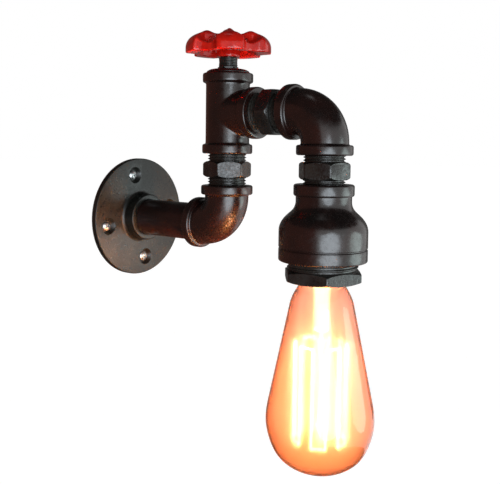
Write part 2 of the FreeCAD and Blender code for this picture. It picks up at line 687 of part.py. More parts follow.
def make_hand_wheel(seat):
    body = doc.addObject("PartDesign::Body", "Wheel")
    rim_top = s.wheel_skirt + s.wheel_flank
    dome_run = s.wheel_radius - s.wheel_shoulder
    hub = s.window_inner
    revolve(body, "Revolution", [
        (0, 0), (s.hub_radius_low, 0), (s.hub_radius_low, s.wheel_skirt), (s.wheel_radius, s.wheel_skirt),
        (s.wheel_radius, rim_top), (dome_run, s.wheel_height - s.crown_drop, s.wheel_shoulder),
        (hub, s.wheel_height), (0, s.wheel_height),
    ])
    # Dish under the web
    dish_roof = s.wheel_height - s.web_thickness
    dish_edge = s.scallop_floor - s.rim_wall
    revolve(body, "Groove", [
        (s.hub_radius_low, s.wheel_skirt), (dish_edge, s.wheel_skirt),
        (dish_edge - s.dish_cone, dish_roof), (s.hub_radius_low, dish_roof),
    ])
    # Finger scallop in the rim's plan, half way between two lobes
    valley = s.lobe_angle + 180 / s.lobe_count
    scallop_centre = s.scallop_floor + s.scallop_radius
    centre = (scallop_centre * cosine(valley), scallop_centre * sine(valley))
    around(body, [cut_through(body, circle_sketch(body, centre, s.scallop_radius))], s.lobe_count)
    # Hollow across the rim's top over each scallop
    saddle = body.newObject("PartDesign::SubtractiveCylinder", "Saddle")
    inner = s.window_outer - s.saddle_lead_in
    bind(saddle, "Radius", s.saddle_radius)
    bind(saddle, "Height", s.wheel_radius + s.saddle_lead_in - inner)
    lie_out = Rotation(Vector(0, 0, 1), valley.value).multiply(Rotation(Vector(0, 1, 0), 90))
    saddle.Placement = FreeCAD.Placement(Vector(0, 0, 0), lie_out)
    saddle_seat = (inner * cosine(valley), inner * sine(valley), s.saddle_floor + s.saddle_radius)
    for axis, length in zip("xyz", saddle_seat):
        bind(saddle, f"Placement.Base.{axis}", length)
    around(body, [saddle], s.lobe_count)
    # Window through the web between two arms
    window = new_sketch(body, "XY_Plane")
    outline(window, [
        polar(s.window_inner, valley + s.window_inner_angle),
        polar(s.window_inner, valley - s.window_inner_angle, -s.window_inner),
        polar(s.window_outer, valley - s.window_outer_angle),
        polar(s.window_outer, valley + s.window_outer_angle, s.window_outer),
    ])
    around(body, [cut_through(body, window)], s.lobe_count)
    # Bore for the shaft
    cut_through(body, circle_sketch(body, (0, 0), s.shaft_radius + s.joint_gap))
    node("hand_wheel", place(body, seat))


# Domed nut on top of the wheel

def make_wheel_nut(seat):
    hole = s.stud_radius + s.joint_gap
    hole_top = s.stud_length + s.can_gap
    node("wheel_nut", turned("Dome", [
        (hole, 0), (s.cap_radius, 0), (s.cap_radius, s.cap_height - s.cap_arc),
        (s.cap_top_radius, s.cap_height, s.cap_arc), (0, s.cap_height), (0, hole_top), (hole, hole_top),
    ], seat))


# Bell reducer: a narrow neck flares to the bell, and an inner ledge carries the lampholder

def make_bell_reducer(seat):
    top = s.bell_top_width
    edge = s.band_bevel
    lower = s.bell_height - s.bell_band_width
    socket = s.pipe_radius + s.joint_gap
    ledge_end = s.socket_depth + s.ledge_thickness
    groove = s.bell_radius - s.bell_groove
    mouth_top = s.bell_height - s.bell_mouth_depth
    outside = [
        (s.bell_top_radius - edge, 0), (s.bell_top_radius, edge), (s.bell_top_radius, top - edge),
        (s.bell_neck_radius, top), (s.bell_neck_radius, s.bell_neck_end),
        (s.bell_flare_radius, s.bell_flare_end), (s.bell_radius, s.bell_shoulder_end, s.bell_shoulder),
        (s.bell_radius, lower - s.bell_groove_width), (groove, lower - s.bell_groove_width / 2),
        (s.bell_radius, lower), (s.bell_radius, s.bell_height - edge), (s.bell_radius - edge, s.bell_height),
    ]
    inside = [
        (s.bell_mouth_radius, s.bell_height), (s.bell_mouth_radius, mouth_top),
        (s.bell_chamber_radius, mouth_top), (s.bell_chamber_radius, s.bell_chamber_start),
        (s.ledge_radius, ledge_end), (s.ledge_radius, s.socket_depth),
        (socket, s.socket_depth), (socket, 0),
    ]
    node("bell_reducer", turned("Bell", outside + inside, seat, DOWN))


# Hexagon bushing ring: a thread up into the reducer and a hexagon below

def make_hex_bushing(seat):
    thread = s.bell_mouth_radius - s.joint_gap
    start = s.bell_mouth_depth + s.bushing_thread
    sleeve = cylinder(thread, start, (0, 0, -s.bell_mouth_depth))
    grip_seat = (0, 0, s.bushing_thread)
    grip = hexagon(s.bushing_flats, s.bushing_height, s.bushing_bevel, s.bushing_turn, grip_seat)
    bore = cylinder(s.bushing_bore, start + s.bushing_height, (0, 0, -s.bell_mouth_depth))
    node("hex_bushing", place(cut(joined([sleeve, grip]), [bore]), seat, DOWN))


# What the lampholder hangs on: a washer on the reducer's ledge, a nut and a hollow threaded rod

def make_holder_hanger(ledge, holder_top):
    hole = s.rod_radius + s.joint_gap
    node("seat_washer", turned("Washer", [
        (hole, 0), (s.washer_radius, 0), (s.washer_radius, s.washer_thickness), (hole, s.washer_thickness),
    ], ledge))
    nut_seat = (ledge[0], ledge[1], ledge[2] + s.washer_thickness)
    grip = hexagon(s.rod_flats, s.rod_nut_height, s.nut_bevel, 0)
    node("holder_locknut", place(cut(grip, [cylinder(hole, s.rod_nut_height)]), nut_seat))
    foot = (ledge[0], ledge[1], holder_top - s.holder_chamber_height)
    node("holder_nipple", turned("Rod", [
        (s.rod_bore, 0), (s.rod_radius, 0), (s.rod_radius, s.rod_length), (s.rod_bore, s.rod_length),
    ], foot))


# Porcelain lampholder: straight skirt round the screw shell, web, and a domed top with the terminals

def make_lampholder(axis_y, foot):
    web_low = s.shell_recess + s.shell_length
    web_top = web_low + s.holder_web
    chamber_top = web_top + s.holder_chamber_height
    shell_outer = s.shell_radius + s.shell_wall + s.joint_gap
    rod = s.rod_radius + s.joint_gap
    body = turned("Porcelain", [
        (shell_outer, 0), (s.holder_radius, 0), (s.holder_radius, s.holder_skirt),
        (s.holder_top_radius, s.holder_height), (rod, s.holder_height), (rod, chamber_top),
        (s.holder_chamber, chamber_top), (s.holder_chamber, web_top), (0, web_top), (0, web_low),
        (shell_outer, web_low),
    ], (0, axis_y, foot))
    holes = [cylinder(s.rivet_radius + s.joint_gap, s.holder_web, (0, axis_y, foot + web_low))]
    terminal_seats = [(s.terminal_screw_spacing * side, axis_y, foot + web_low) for side in (-1, 1)]
    for terminal_seat in terminal_seats:
        holes.append(cylinder(s.terminal_screw_radius + s.joint_gap, s.holder_web, terminal_seat))
    node("lampholder_body", cut(body, holes))
    node("lampholder_shell", turned("Shell", [
        (s.shell_radius, 0), (s.shell_radius + s.shell_wall, 0),
        (s.shell_radius + s.shell_wall, s.shell_length), (s.shell_radius, s.shell_length),
    ], (0, axis_y, foot + s.shell_recess)))

    strip = doc.addObject("Part::Box", "Strip")
    bind(strip, "Length", s.contact_length)
    bind(strip, "Width", s.contact_width)
    bind(strip, "Height", s.contact_thickness)
    strip_low = foot + web_low - s.contact_gap - s.contact_thickness
    place(strip, (-s.contact_length / 2, axis_y - s.contact_width / 2, strip_low))
    rivet_length = s.contact_thickness + s.contact_gap + s.holder_web
    rivet = cylinder(s.rivet_radius, rivet_length, (0, axis_y, strip_low))
    node("centre_contact", joined([strip, rivet]))

    screws = [turned("Terminal", [
        (0, s.contact_gap), (s.terminal_screw_radius, s.contact_gap), (s.terminal_screw_radius, s.holder_web),
        (s.terminal_screw_head, s.holder_web), (s.terminal_screw_head, s.holder_web + s.screw_dome),
        (0, s.holder_web + s.screw_dome),
    ], terminal_seat) for terminal_seat in terminal_seats]
    node("terminal_screws", group(screws))
    return foot + web_top


# Bulb's screw cap: contact, insulator and threaded shell

def make_bulb_cap(tip):
    ring_end = s.button_height + s.glass_ring_height
    node("bulb_contact", turned("Button", [
        (0, 0), (s.button_tip_radius, 0), (s.button_radius, s.button_height), (0, s.button_height),
    ], tip, DOWN))
    node("cap_insulator", turned("Ring", [
        (0, s.button_height), (s.button_radius, s.button_height),
        (s.glass_ring_radius, ring_end), (0, ring_end),
    ], tip, DOWN))
    inner = s.screw_cap_radius - s.screw_cap_wall
    node("bulb_cap", turned("Cap", [
        (0, ring_end), (s.glass_ring_radius, ring_end), (s.screw_cap_radius, s.cap_shoulder),
        (s.screw_cap_radius, s.screw_cap_end), (inner, s.screw_cap_end),
        (inner, s.cap_shoulder + s.screw_cap_wall), (0, s.cap_shoulder + s.screw_cap_wall),
    ], tip, DOWN))


# Bulb's glass: short neck, straight flanks that widen downwards, and a rounded bottom

def make_bulb_glass(tip):
    wall = s.glass_wall
    cone_end = s.screw_cap_end + s.neck_cone_height
    flank_start = cone_end + s.shoulder_height
    flank_end = flank_start + s.flank_height
    belly = flank_end + s.belly_drop
    cheek = belly + s.cheek_drop
    bottom = cheek + s.bottom_drop
    outside = [
        (s.neck_radius, s.neck_start), (s.neck_radius, s.screw_cap_end), (s.neck_cone_radius, cone_end),
        (s.flank_start_radius, flank_start, s.shoulder_arc), (s.flank_end_radius, flank_end),
        (s.belly_radius, belly, s.upper_belly_arc), (s.cheek_radius, cheek, s.lower_belly_arc),
        (s.bottom_flat, bottom, s.bottom_arc), (0, bottom),
    ]
    inside = [
        (0, bottom - wall), (s.bottom_flat, bottom - wall), (s.cheek_radius - 2 * wall, cheek),
        (s.belly_radius - wall, belly), (s.flank_end_radius - wall, flank_end),
        (s.flank_start_radius - wall, flank_start), (s.neck_cone_radius - wall, cone_end),
        (s.neck_radius - wall, s.screw_cap_end), (s.neck_radius - wall, s.neck_start),
    ]
    node("bulb_glass", turned("Glass", outside + inside, tip, DOWN))


# Inside the glass: the stem with its rod and beads, lead wires, support wires and the squirrel cage

def cage_ends():
    """Depths of the cage's upper and lower end."""
    upper = s.stem_end + s.cage_drop
    return upper, upper + s.cage_height


def make_stem(tip):
    rod = s.stem_rod_radius
    points = [
        (0, s.neck_start), (s.stem_flare, s.neck_start), (s.stem_radius, s.stem_flare_end),
        (s.stem_radius, s.stem_end), (rod, s.stem_end + rod),
    ]
    for depth in cage_ends():
        bead_start = depth - s.bead_height / 2
        bead_end = depth + s.bead_height / 2
        points += [(rod, bead_start), (s.bead_radius, bead_start), (s.bead_radius, bead_end), (rod, bead_end)]
    rod_end = bead_end + s.stem_rod_tail
    node("filament_stem", turned("Stem", points + [(rod, rod_end), (0, rod_end)], tip, DOWN))


def cage_point(tip, index, depth):
    """Where a leg of the cage meets a depth below the contact."""
    angle = math.tau * (index + 0.5) / s.leg_count.value
    along = s.cage_radius.value * math.cos(angle)
    across = s.cage_radius.value * math.sin(angle)
    return Vector(along, tip[1].value + across, tip[2].value - depth.value)


def swept(points, radius):
    """Wire of round section along straight runs that meet in mitred corners."""
    path = Part.makePolygon(points)
    circle = Part.Circle(points[0], points[1] - points[0], radius.value)
    return path.makePipeShell([Part.Wire(circle.toShape())], True, False, 1)


def feature(name, shape):
    piece = doc.addObject("Part::Feature", name)
    piece.Shape = shape
    return node(name, piece)


def make_cage(tip):
    count = int(s.leg_count.value)
    ends = cage_ends()
    # The filament runs down one leg, along to the next, up that one and so on, with one open gap at the top
    points = []
    for index in range(count):
        first, second = ends if index % 2 == 0 else ends[::-1]
        points += [cage_point(tip, index, first), cage_point(tip, index, second)]
    feature("filament", swept(points, s.wire_radius))

    # Support wires reach from the rod's beads to the middle of each short run of the filament
    reach = s.cage_radius * cosine(180 / s.leg_count) - s.wire_radius * 2 - s.wire_gap
    wires = []
    for index in range(count - 1):
        depth = ends[(index + 1) % 2]
        angle = as_size(360 * (index + 1) / s.leg_count.value)
        lie_out = Rotation(Vector(0, 0, 1), angle.value).multiply(Rotation(Vector(0, 1, 0), 90))
        wire_seat = (s.bead_radius * cosine(angle), tip[1] + s.bead_radius * sine(angle), tip[2] - depth)
        wires.append(cylinder(s.wire_radius, reach - s.bead_radius, wire_seat, lie_out))
    node("filament_supports", group(wires))

    # Lead wires slant from the stem's pinch to the filament's two ends
    leads = []
    for index in (0, count - 1):
        target = cage_point(tip, index, ends[0] - s.wire_radius - s.wire_gap)
        outward = Vector(target.x, target.y - tip[1].value, 0).normalize()
        start = Vector(0, tip[1].value, tip[2].value - s.stem_end.value)
        start = start + outward * (s.stem_radius + s.wire_radius + s.joint_gap).value
        leads.append(Part.makeCylinder(s.wire_radius.value, (target - start).Length, start, target - start))
    feature("lead_wires", Part.makeCompound(leads))


# Fixture wires in a sleeve, from the wall to the dimmer and on to the lampholder

def make_lead(name, points):
    """Straight runs joined by tangent arcs, as wide as the two runs of each bend allow."""
    edges = []
    radii = []
    start = points[0]
    for before, corner, after in zip(points, points[1:], points[2:]):
        inward = (corner - before).normalize()
        onward = (after - corner).normalize()
        half = inward.getAngle(onward) / 2
        tangent = 0.45 * min((corner - before).Length, (after - corner).Length)
        radii.append(tangent / math.tan(half))
        arc_start = corner - inward * tangent
        arc_end = corner + onward * tangent
        side = (onward - inward).normalize()
        arc_middle = corner + side * radii[-1] * (1 / math.cos(half) - 1)
        edges.append(Part.LineSegment(start, arc_start).toShape())
        edges.append(Part.Arc(arc_start, arc_middle, arc_end).toShape())
        start = arc_end
    edges.append(Part.LineSegment(start, points[-1]).toShape())
    path = Part.Wire(edges)
    circle = Part.Circle(points[0], points[1] - points[0], s.lead_radius.value)
    shape = path.makePipeShell([Part.Wire(circle.toShape())], True, False)
    feature(name, shape)
    share = shape.Volume / (math.pi * s.lead_radius.value ** 2 * path.Length)
    print(name, "arc radii", [round(radius, 1) for radius in radii])
    print(name, "volume over section times length", share)


def make_leads(tee_height, lamp_reach, terminals, lead_end):
    low = -(s.pipe_bore - s.lead_radius - s.lead_rest_gap).value
    riser = -s.riser_reach.value
    split = s.lead_split.value
    bend = s.bend_radius.value
    arm = tee_height.value
    block = terminals.value
    aside = (s.terminal_width / 4).value
    end = lead_end.value
    make_lead("feed_lead", [
        Vector(0, -1, low), Vector(0, riser * 0.42, low - 0.1), Vector(0, riser + 0.45 * bend, low + 1.2),
        Vector(0, riser + 0.3, 0.66 * bend), Vector(0, riser, split - 14), Vector(0.01, riser, split),
    ])
    make_lead("control_lead", [
        Vector(0, riser, split), Vector(0, riser, split + 12), Vector(-aside, riser, block - 9),
        Vector(-aside, riser, block),
    ])
    lamp = -lamp_reach.value
    make_lead("lamp_lead", [
        Vector(aside, riser, block), Vector(aside, riser, block - 5.5), Vector(aside, riser - 3.5, block - 10.4),
        Vector(aside, riser - 11, arm + low + 1.3), Vector(1.5, riser - 22, arm + low),
        Vector(1.2, riser - 40, arm + low + 0.3),
        Vector(0.5, lamp + 0.75 * bend, arm - 5.6), Vector(0, lamp + 4, arm - 14.6),
        Vector(0.2, lamp + 0.9, arm - 28.5), Vector(-0.2, lamp, arm - 42), Vector(0, lamp, end + 13.2),
        Vector(0, lamp, end),
    ])


def build():
    riser_gap = s.riser_thread_low + s.hex_height + s.riser_thread_high
    tee_height = 2 * s.centre_to_end + riser_gap
    branch_gap = s.branch_thread_in + s.hex_height + s.branch_thread_out
    lamp_reach = s.riser_reach + 2 * s.centre_to_end + branch_gap
    drop_gap = s.drop_thread_high + s.hex_height + s.drop_thread_low
    reducer_top = tee_height - s.centre_to_end - drop_gap
    reducer_low = reducer_top - s.bell_height
    tee_top = tee_height + s.centre_to_end
    riser_axis = (0, -s.riser_reach)
    lamp_axis = (0, -lamp_reach)

    make_wall_flange()
    make_wall_screws()
    make_wall_nipple()
    make_elbow("lower_elbow", (*riser_axis, 0), UP)
    hex_nipple("riser_nipple", s.riser_thread_low, s.riser_thread_high, s.riser_hex_turn,
               (*riser_axis, s.centre_to_end), UP)

    make_control_tee((*riser_axis, tee_height))
    make_bonnet_plug((*riser_axis, tee_top))
    can_top = tee_top + s.plug_height - s.plug_web
    make_dimmer(can_top)
    plug_top = tee_top + s.plug_height
    make_shaft_nut((*riser_axis, plug_top))
    make_gland_sleeve((*riser_axis, plug_top + s.nut_height))
    wheel_base = plug_top + s.nut_height + s.gland_height + s.wheel_gap
    make_dimmer_shaft(can_top, wheel_base)
    make_hand_wheel((*riser_axis, wheel_base))
    make_wheel_nut((*riser_axis, wheel_base + s.wheel_height))

    hex_nipple("branch_nipple", s.branch_thread_in, s.branch_thread_out, s.branch_hex_turn,
               (0, -s.riser_reach - s.centre_to_end, tee_height), OUT)
    make_elbow("upper_elbow", (*lamp_axis, tee_height), Rotation(Vector(0, 1, 0), 180))
    hex_nipple("drop_nipple", s.drop_thread_high, s.drop_thread_low, s.drop_hex_turn,
               (*lamp_axis, tee_height - s.centre_to_end), DOWN)
    make_bell_reducer((*lamp_axis, reducer_top))
    make_hex_bushing((*lamp_axis, reducer_low))

    holder_foot = reducer_low - s.bushing_thread - s.bushing_height + s.holder_recess
    web_top = make_lampholder(-lamp_reach, holder_foot)
    ledge = (*lamp_axis, reducer_top - s.socket_depth)
    make_holder_hanger(ledge, holder_foot + s.holder_height)

    tip_height = holder_foot + s.shell_recess + s.shell_length - s.contact_thickness - 2 * s.contact_gap
    tip = (0, -lamp_reach, tip_height)
    make_bulb_cap(tip)
    make_bulb_glass(tip)
    make_stem(tip)
    make_cage(tip)

    make_leads(tee_height, lamp_reach, can_top - s.dimmer_height - s.terminal_height, web_top)


build()
doc.recompute()

for item in doc.Objects:
    if "Invalid" in item.State or "Error" in item.State:
        raise RuntimeError(f"{item.Name} ({item.Label}) failed: {item.State}")
for name, piece in nodes.items():
    if piece.Shape.isNull() or not piece.Shape.isValid():
        raise RuntimeError(f"{name} has no valid shape")

os.makedirs("parts", exist_ok=True)
for name, piece in nodes.items():
    piece.Shape.exportStep(os.path.join("parts", f"{name}.step"))
    print(f"{name}: {len(piece.Shape.Solids)} solid(s), {piece.Shape.Volume:.1f} mm3")
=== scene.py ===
import math

import bmesh
import bpy
from mathutils import Matrix, Vector


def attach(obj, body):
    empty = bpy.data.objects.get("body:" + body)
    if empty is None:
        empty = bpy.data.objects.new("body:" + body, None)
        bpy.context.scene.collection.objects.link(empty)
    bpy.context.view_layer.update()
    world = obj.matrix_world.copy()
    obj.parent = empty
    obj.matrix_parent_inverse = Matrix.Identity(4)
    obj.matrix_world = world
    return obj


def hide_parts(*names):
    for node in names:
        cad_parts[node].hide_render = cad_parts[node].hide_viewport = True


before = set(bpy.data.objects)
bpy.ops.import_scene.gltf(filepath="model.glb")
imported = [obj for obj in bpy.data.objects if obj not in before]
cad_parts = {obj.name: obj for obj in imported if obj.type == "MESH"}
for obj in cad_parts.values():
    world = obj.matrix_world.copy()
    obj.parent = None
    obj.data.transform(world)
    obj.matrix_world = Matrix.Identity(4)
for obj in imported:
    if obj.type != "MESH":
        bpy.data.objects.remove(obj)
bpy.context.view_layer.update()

# The view and the studio.
# The lamp is seen from the left of its wall and a hand's breadth above, in a white room. One
# softbox stands behind the camera and one off to the right, both low. Dim self-lit sheets at the
# sides, overhead and below the picture show only in reflections, where they paint the dark
# reflections of a product studio that keep the iron deep.
scene = bpy.context.scene
scene.view_settings.view_transform = "Standard"
VIEW_YAW, VIEW_PITCH, VIEW_ROLL = 0.8878020531, 0.0609511364, 0.0118288537
PIXELS_WIDE, PIXELS_HIGH, FOCAL_PIXELS = 500, 484, 733.067
CENTRE_X, CENTRE_Y, SENSOR = 235.689, 192.553, 36
CAMERA_PLACE = (-0.3638825, -0.3880470, 0.0497600)
ahead = Vector((math.sin(VIEW_YAW) * math.cos(VIEW_PITCH),
                math.cos(VIEW_YAW) * math.cos(VIEW_PITCH), -math.sin(VIEW_PITCH)))
level = Vector((math.cos(VIEW_YAW), -math.sin(VIEW_YAW), 0))
upright = level.cross(ahead)
across = level * math.cos(VIEW_ROLL) + upright * math.sin(VIEW_ROLL)
upward = upright * math.cos(VIEW_ROLL) - level * math.sin(VIEW_ROLL)
lens = bpy.data.cameras.new("camera")
lens.sensor_width = SENSOR
lens.lens = SENSOR * FOCAL_PIXELS / PIXELS_WIDE
lens.shift_x = (PIXELS_WIDE / 2 - CENTRE_X) / PIXELS_WIDE
lens.shift_y = (CENTRE_Y - PIXELS_HIGH / 2) / PIXELS_WIDE
lens.clip_start, lens.clip_end = 0.01, 50
camera = bpy.data.objects.new("camera", lens)
scene.collection.objects.link(camera)
camera.matrix_world = Matrix((across, upward, -ahead)).transposed().to_4x4()
camera.location = CAMERA_PLACE
scene.camera = camera


def linear(code):
    """The linear colour of an sRGB hex value."""
    parts = [int(code[i:i + 2], 16) / 255 for i in (1, 3, 5)]
    return tuple(c / 12.92 if c <= 0.04045 else ((c + 0.055) / 1.055) ** 2.4 for c in parts) + (1,)


def node(tree, kind, sockets=None, **settings):
    """A shader node with its settings, and its sockets set or joined to other nodes' outputs."""
    made = tree.nodes.new("ShaderNode" + kind)
    for name, value in settings.items():
        setattr(made, name, value)
    for socket, value in (sockets or {}).items():
        if isinstance(value, bpy.types.NodeSocket):
            tree.links.new(value, made.inputs[socket])
        else:
            made.inputs[socket].default_value = value
    return made


def empty_material(name):
    """A new material and its node tree, with nothing in it."""
    made = bpy.data.materials.new(name)
    made.use_nodes = True
    made.node_tree.nodes.clear()
    return made, made.node_tree


def linked(name, bm):
    """The mesh as an object in the scene."""
    mesh = bpy.data.meshes.new(name)
    bm.to_mesh(mesh)
    bm.free()
    made = bpy.data.objects.new(name, mesh)
    scene.collection.objects.link(made)
    return made


def softbox(name, place, aim, width, height, watts, tint):
    """A rectangle of light at a place, turned to what it lights."""
    light = bpy.data.lights.new(name, "AREA")
    light.shape = "RECTANGLE"
    light.size, light.size_y = width, height
    light.energy, light.color = watts, linear(tint)[:3]
    box = bpy.data.objects.new(name, light)
    scene.collection.objects.link(box)
    box.location = place
    box.rotation_euler = (Vector(aim) - Vector(place)).to_track_quat("-Z", "Z").to_euler()


softbox("camera_softbox", (-0.46, -0.7, -0.14), (0, -0.13, -0.05), 0.54, 0.5, 4.6, "#e8f5ff")
softbox("right_softbox", (0.54, -0.95, -0.16), (0, -0.13, -0.1), 0.62, 0.48, 3.2, "#dff5f3")

# Each flag runs from one (radius, height) edge to another, swept about the lamp from an angle.
FLAG_AWAY, FLAG_LOW, FLAG_HIGH, FLAG_CENTRE = 1.0, -0.41, 1.0, (0, -0.1, 0)
LID_EDGE, LID_HEIGHT, LID_HOLE = 1.1, 0.6, 0.1
CLOTH_HOLE, CLOTH_EDGE = 0.01, 0.45
# Painted reflections: dim self-lit sheets that show only in reflections, each an even tone, warmer
# on the left and below.
for name, first, second, start, sweep, shade in (
        ("left_flag", (FLAG_AWAY, FLAG_LOW), (FLAG_AWAY, FLAG_HIGH), 62, 138, "#7c5248"),
        ("right_flag", (FLAG_AWAY, FLAG_LOW), (FLAG_AWAY, FLAG_HIGH), -10, 72, "#6a6a68"),
        ("top_flag", (LID_EDGE, LID_HEIGHT), (LID_HOLE, FLAG_HIGH), 0, 360, "#30302f"),
        ("floor_flag", (CLOTH_HOLE, FLAG_LOW), (CLOTH_EDGE, FLAG_LOW), 0, 360, "#50403a"),
        ("wall_flag", (CLOTH_EDGE, FLAG_LOW), (FLAG_AWAY, FLAG_LOW), 10, 185, "#50403a")):
    painted_reflection, tree = empty_material(name + "_felt")
    tone = node(tree, "Emission", {"Color": linear(shade), "Strength": 1})
    node(tree, "OutputMaterial", {"Surface": tone.outputs[0]})
    sheet = bmesh.new()
    facing = Matrix.Rotation(math.radians(start), 3, "Z")
    ends = [sheet.verts.new(facing @ Vector((r, 0, z)) + Vector(FLAG_CENTRE))
            for r, z in (first, second)]
    bmesh.ops.spin(sheet, geom=ends + [sheet.edges.new(ends)], cent=FLAG_CENTRE, axis=(0, 0, 1),
                   angle=math.radians(sweep), steps=32)
    flag = linked(name, sheet)
    flag.data.materials.append(painted_reflection)
    flag.visible_camera = flag.visible_transmission = False
    flag.visible_diffuse = flag.visible_shadow = False


def looked_along(tree):
    """1 on a ray from the camera, off a gloss or through glass, and 0 on one that only lights."""
    ray = node(tree, "LightPath")
    seen = node(tree, "Math", {0: ray.outputs["Is Camera Ray"], 1: ray.outputs["Is Glossy Ray"]},
                operation="MAXIMUM")
    return node(tree, "Math", {0: seen.outputs[0], 1: ray.outputs["Is Transmission Ray"]},
                operation="MAXIMUM").outputs[0]


ROOM_GREY = "#8c8c8c"
room = bpy.data.worlds.new("room")
room.use_nodes = True
room.node_tree.nodes.clear()
tree = room.node_tree
fill = node(tree, "Background", {"Color": linear(ROOM_GREY), "Strength": 1})
white = node(tree, "Background", {"Color": (1, 1, 1, 1), "Strength": 1})
both = node(tree, "MixShader", {0: looked_along(tree), 1: fill.outputs[0], 2: white.outputs[0]})
node(tree, "OutputWorld", {"Surface": both.outputs[0]})
scene.world = room

FLOOR_DROP, FLOOR_REACH, FLOOR_WHITE, FLOOR_GLOW = 0.42, 20, 0.85, 1.15
# White paper: matt, with a light of its own that hides where it ends and leaves the shadow.
paper, tree = empty_material("white_paper")
share = node(tree, "Math", {0: looked_along(tree), 1: FLOOR_WHITE}, operation="MULTIPLY")
matt = node(tree, "BsdfDiffuse", {"Color": linear("#f4f4f2")})
glow = node(tree, "Emission", {"Color": (1, 1, 1, 1), "Strength": FLOOR_GLOW})
both = node(tree, "MixShader", {0: share.outputs[0], 1: matt.outputs[0], 2: glow.outputs[0]})
node(tree, "OutputMaterial", {"Surface": both.outputs[0]})
ground = bmesh.new()
bmesh.ops.create_grid(ground, x_segments=1, y_segments=1, size=FLOOR_REACH)
bmesh.ops.translate(ground, verts=ground.verts, vec=(0, 0, -FLOOR_DROP))
floor = linked("floor", ground)
floor.data.materials.append(paper)

# The wall flange.
# A round floor flange cast in malleable iron and blackened, turned on its face, with four
# countersunk holes. It is screwed to the wall, and the pipe is screwed into its hub.
FLANGE_RADIUS, FLANGE_PLATE = 41.4, 4.1
HUB_FOOT, HUB_FILLET, HUB_RADIUS, HUB_END = 17.6, 1.5, 16.1, 13.2
PIPE_RADIUS, PIPE_BORE = 12.4, 9.6
HOLE_CIRCLE, HOLE_RADIUS, SINK_RADIUS, SINK_EASE = 30, 2.6, 5.85, 0.4
HOLE_ANGLES = (10, 100, 190, 280)
MM = Matrix.Scale(0.001, 4)
RISER_Y, LAMP_Y, BRANCH_Z = -84.55, -158.35, 71.6
CRISP = 34
FACING = {"up": Matrix(), "down": Matrix.Rotation(math.pi, 4, "X"),
          "out": Matrix.Rotation(math.pi / 2, 4, "X"),
          "back": Matrix.Rotation(-math.pi / 2, 4, "X")}


def at(y, z, facing):
    """Where a piece made in mm about its own Z axis goes on the lamp, in metres."""
    return MM @ Matrix.Translation((0, y, z)) @ FACING[facing]


def edges_of(verts):
    """The edges that meet these vertices, each once and in the order they are met."""
    return list(dict.fromkeys(e for v in verts for e in v.link_edges))


def turned(bm, outline, place=None, steps=96, segments=4):
    """Spins a closed outline of (radius, height, rounding) corners about Z, as on a lathe."""
    corners = [bm.verts.new((r, 0, z)) for r, z, _ in outline]
    edges = [bm.edges.new((a, b)) for a, b in zip(corners, corners[1:] + corners[:1])
             if a.co.x > 0 or b.co.x > 0]
    before = set(bm.verts) - set(corners)
    for corner, (_, _, rounding) in zip(corners, outline):
        if rounding:
            bmesh.ops.bevel(bm, geom=[corner], offset=rounding, segments=segments, profile=0.5,
                            affect="VERTICES", material=-1)
    verts = [v for v in bm.verts if v not in before]
    bmesh.ops.spin(bm, geom=verts + edges_of(verts), cent=(0, 0, 0), axis=(0, 0, 1),
                   angle=math.tau, steps=steps, use_merge=True)
    verts = [v for v in bm.verts if v not in before]
    if place:
        bmesh.ops.transform(bm, matrix=place, verts=verts)
    bmesh.ops.remove_doubles(bm, verts=verts, dist=1e-4)
    return bm


def closed(bm):
    """The mesh with its faces pointing outwards."""
    bmesh.ops.recalc_face_normals(bm, faces=bm.faces)
    return bm


def worked(bm, kind, *cutter, **settings):
    """The mesh after one of Blender's modifiers has run on it."""
    shapes = [linked("work", part) for part in (bm, *cutter)]
    step = shapes[0].modifiers.new("work", kind)
    for name, value in settings.items():
        setattr(step, name, value)
    if cutter:
        step.object = shapes[1]
    result = bmesh.new()
    result.from_object(shapes[0], bpy.context.evaluated_depsgraph_get())
    for shape in shapes:
        bpy.data.meshes.remove(shape.data)
    return result


def piece(name, bm, place, finish, body, slot, *nodes):
    """The mesh as a smooth piece in its place, on its body, standing for its CAD nodes."""
    bmesh.ops.transform(bm, matrix=place, verts=bm.verts)
    made = linked(name, bm)
    made.data.shade_smooth()
    made.data.set_sharp_from_angle(angle=math.radians(CRISP))
    made.data.materials.append(finish)
    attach(made, body)
    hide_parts(*nodes)
    return made


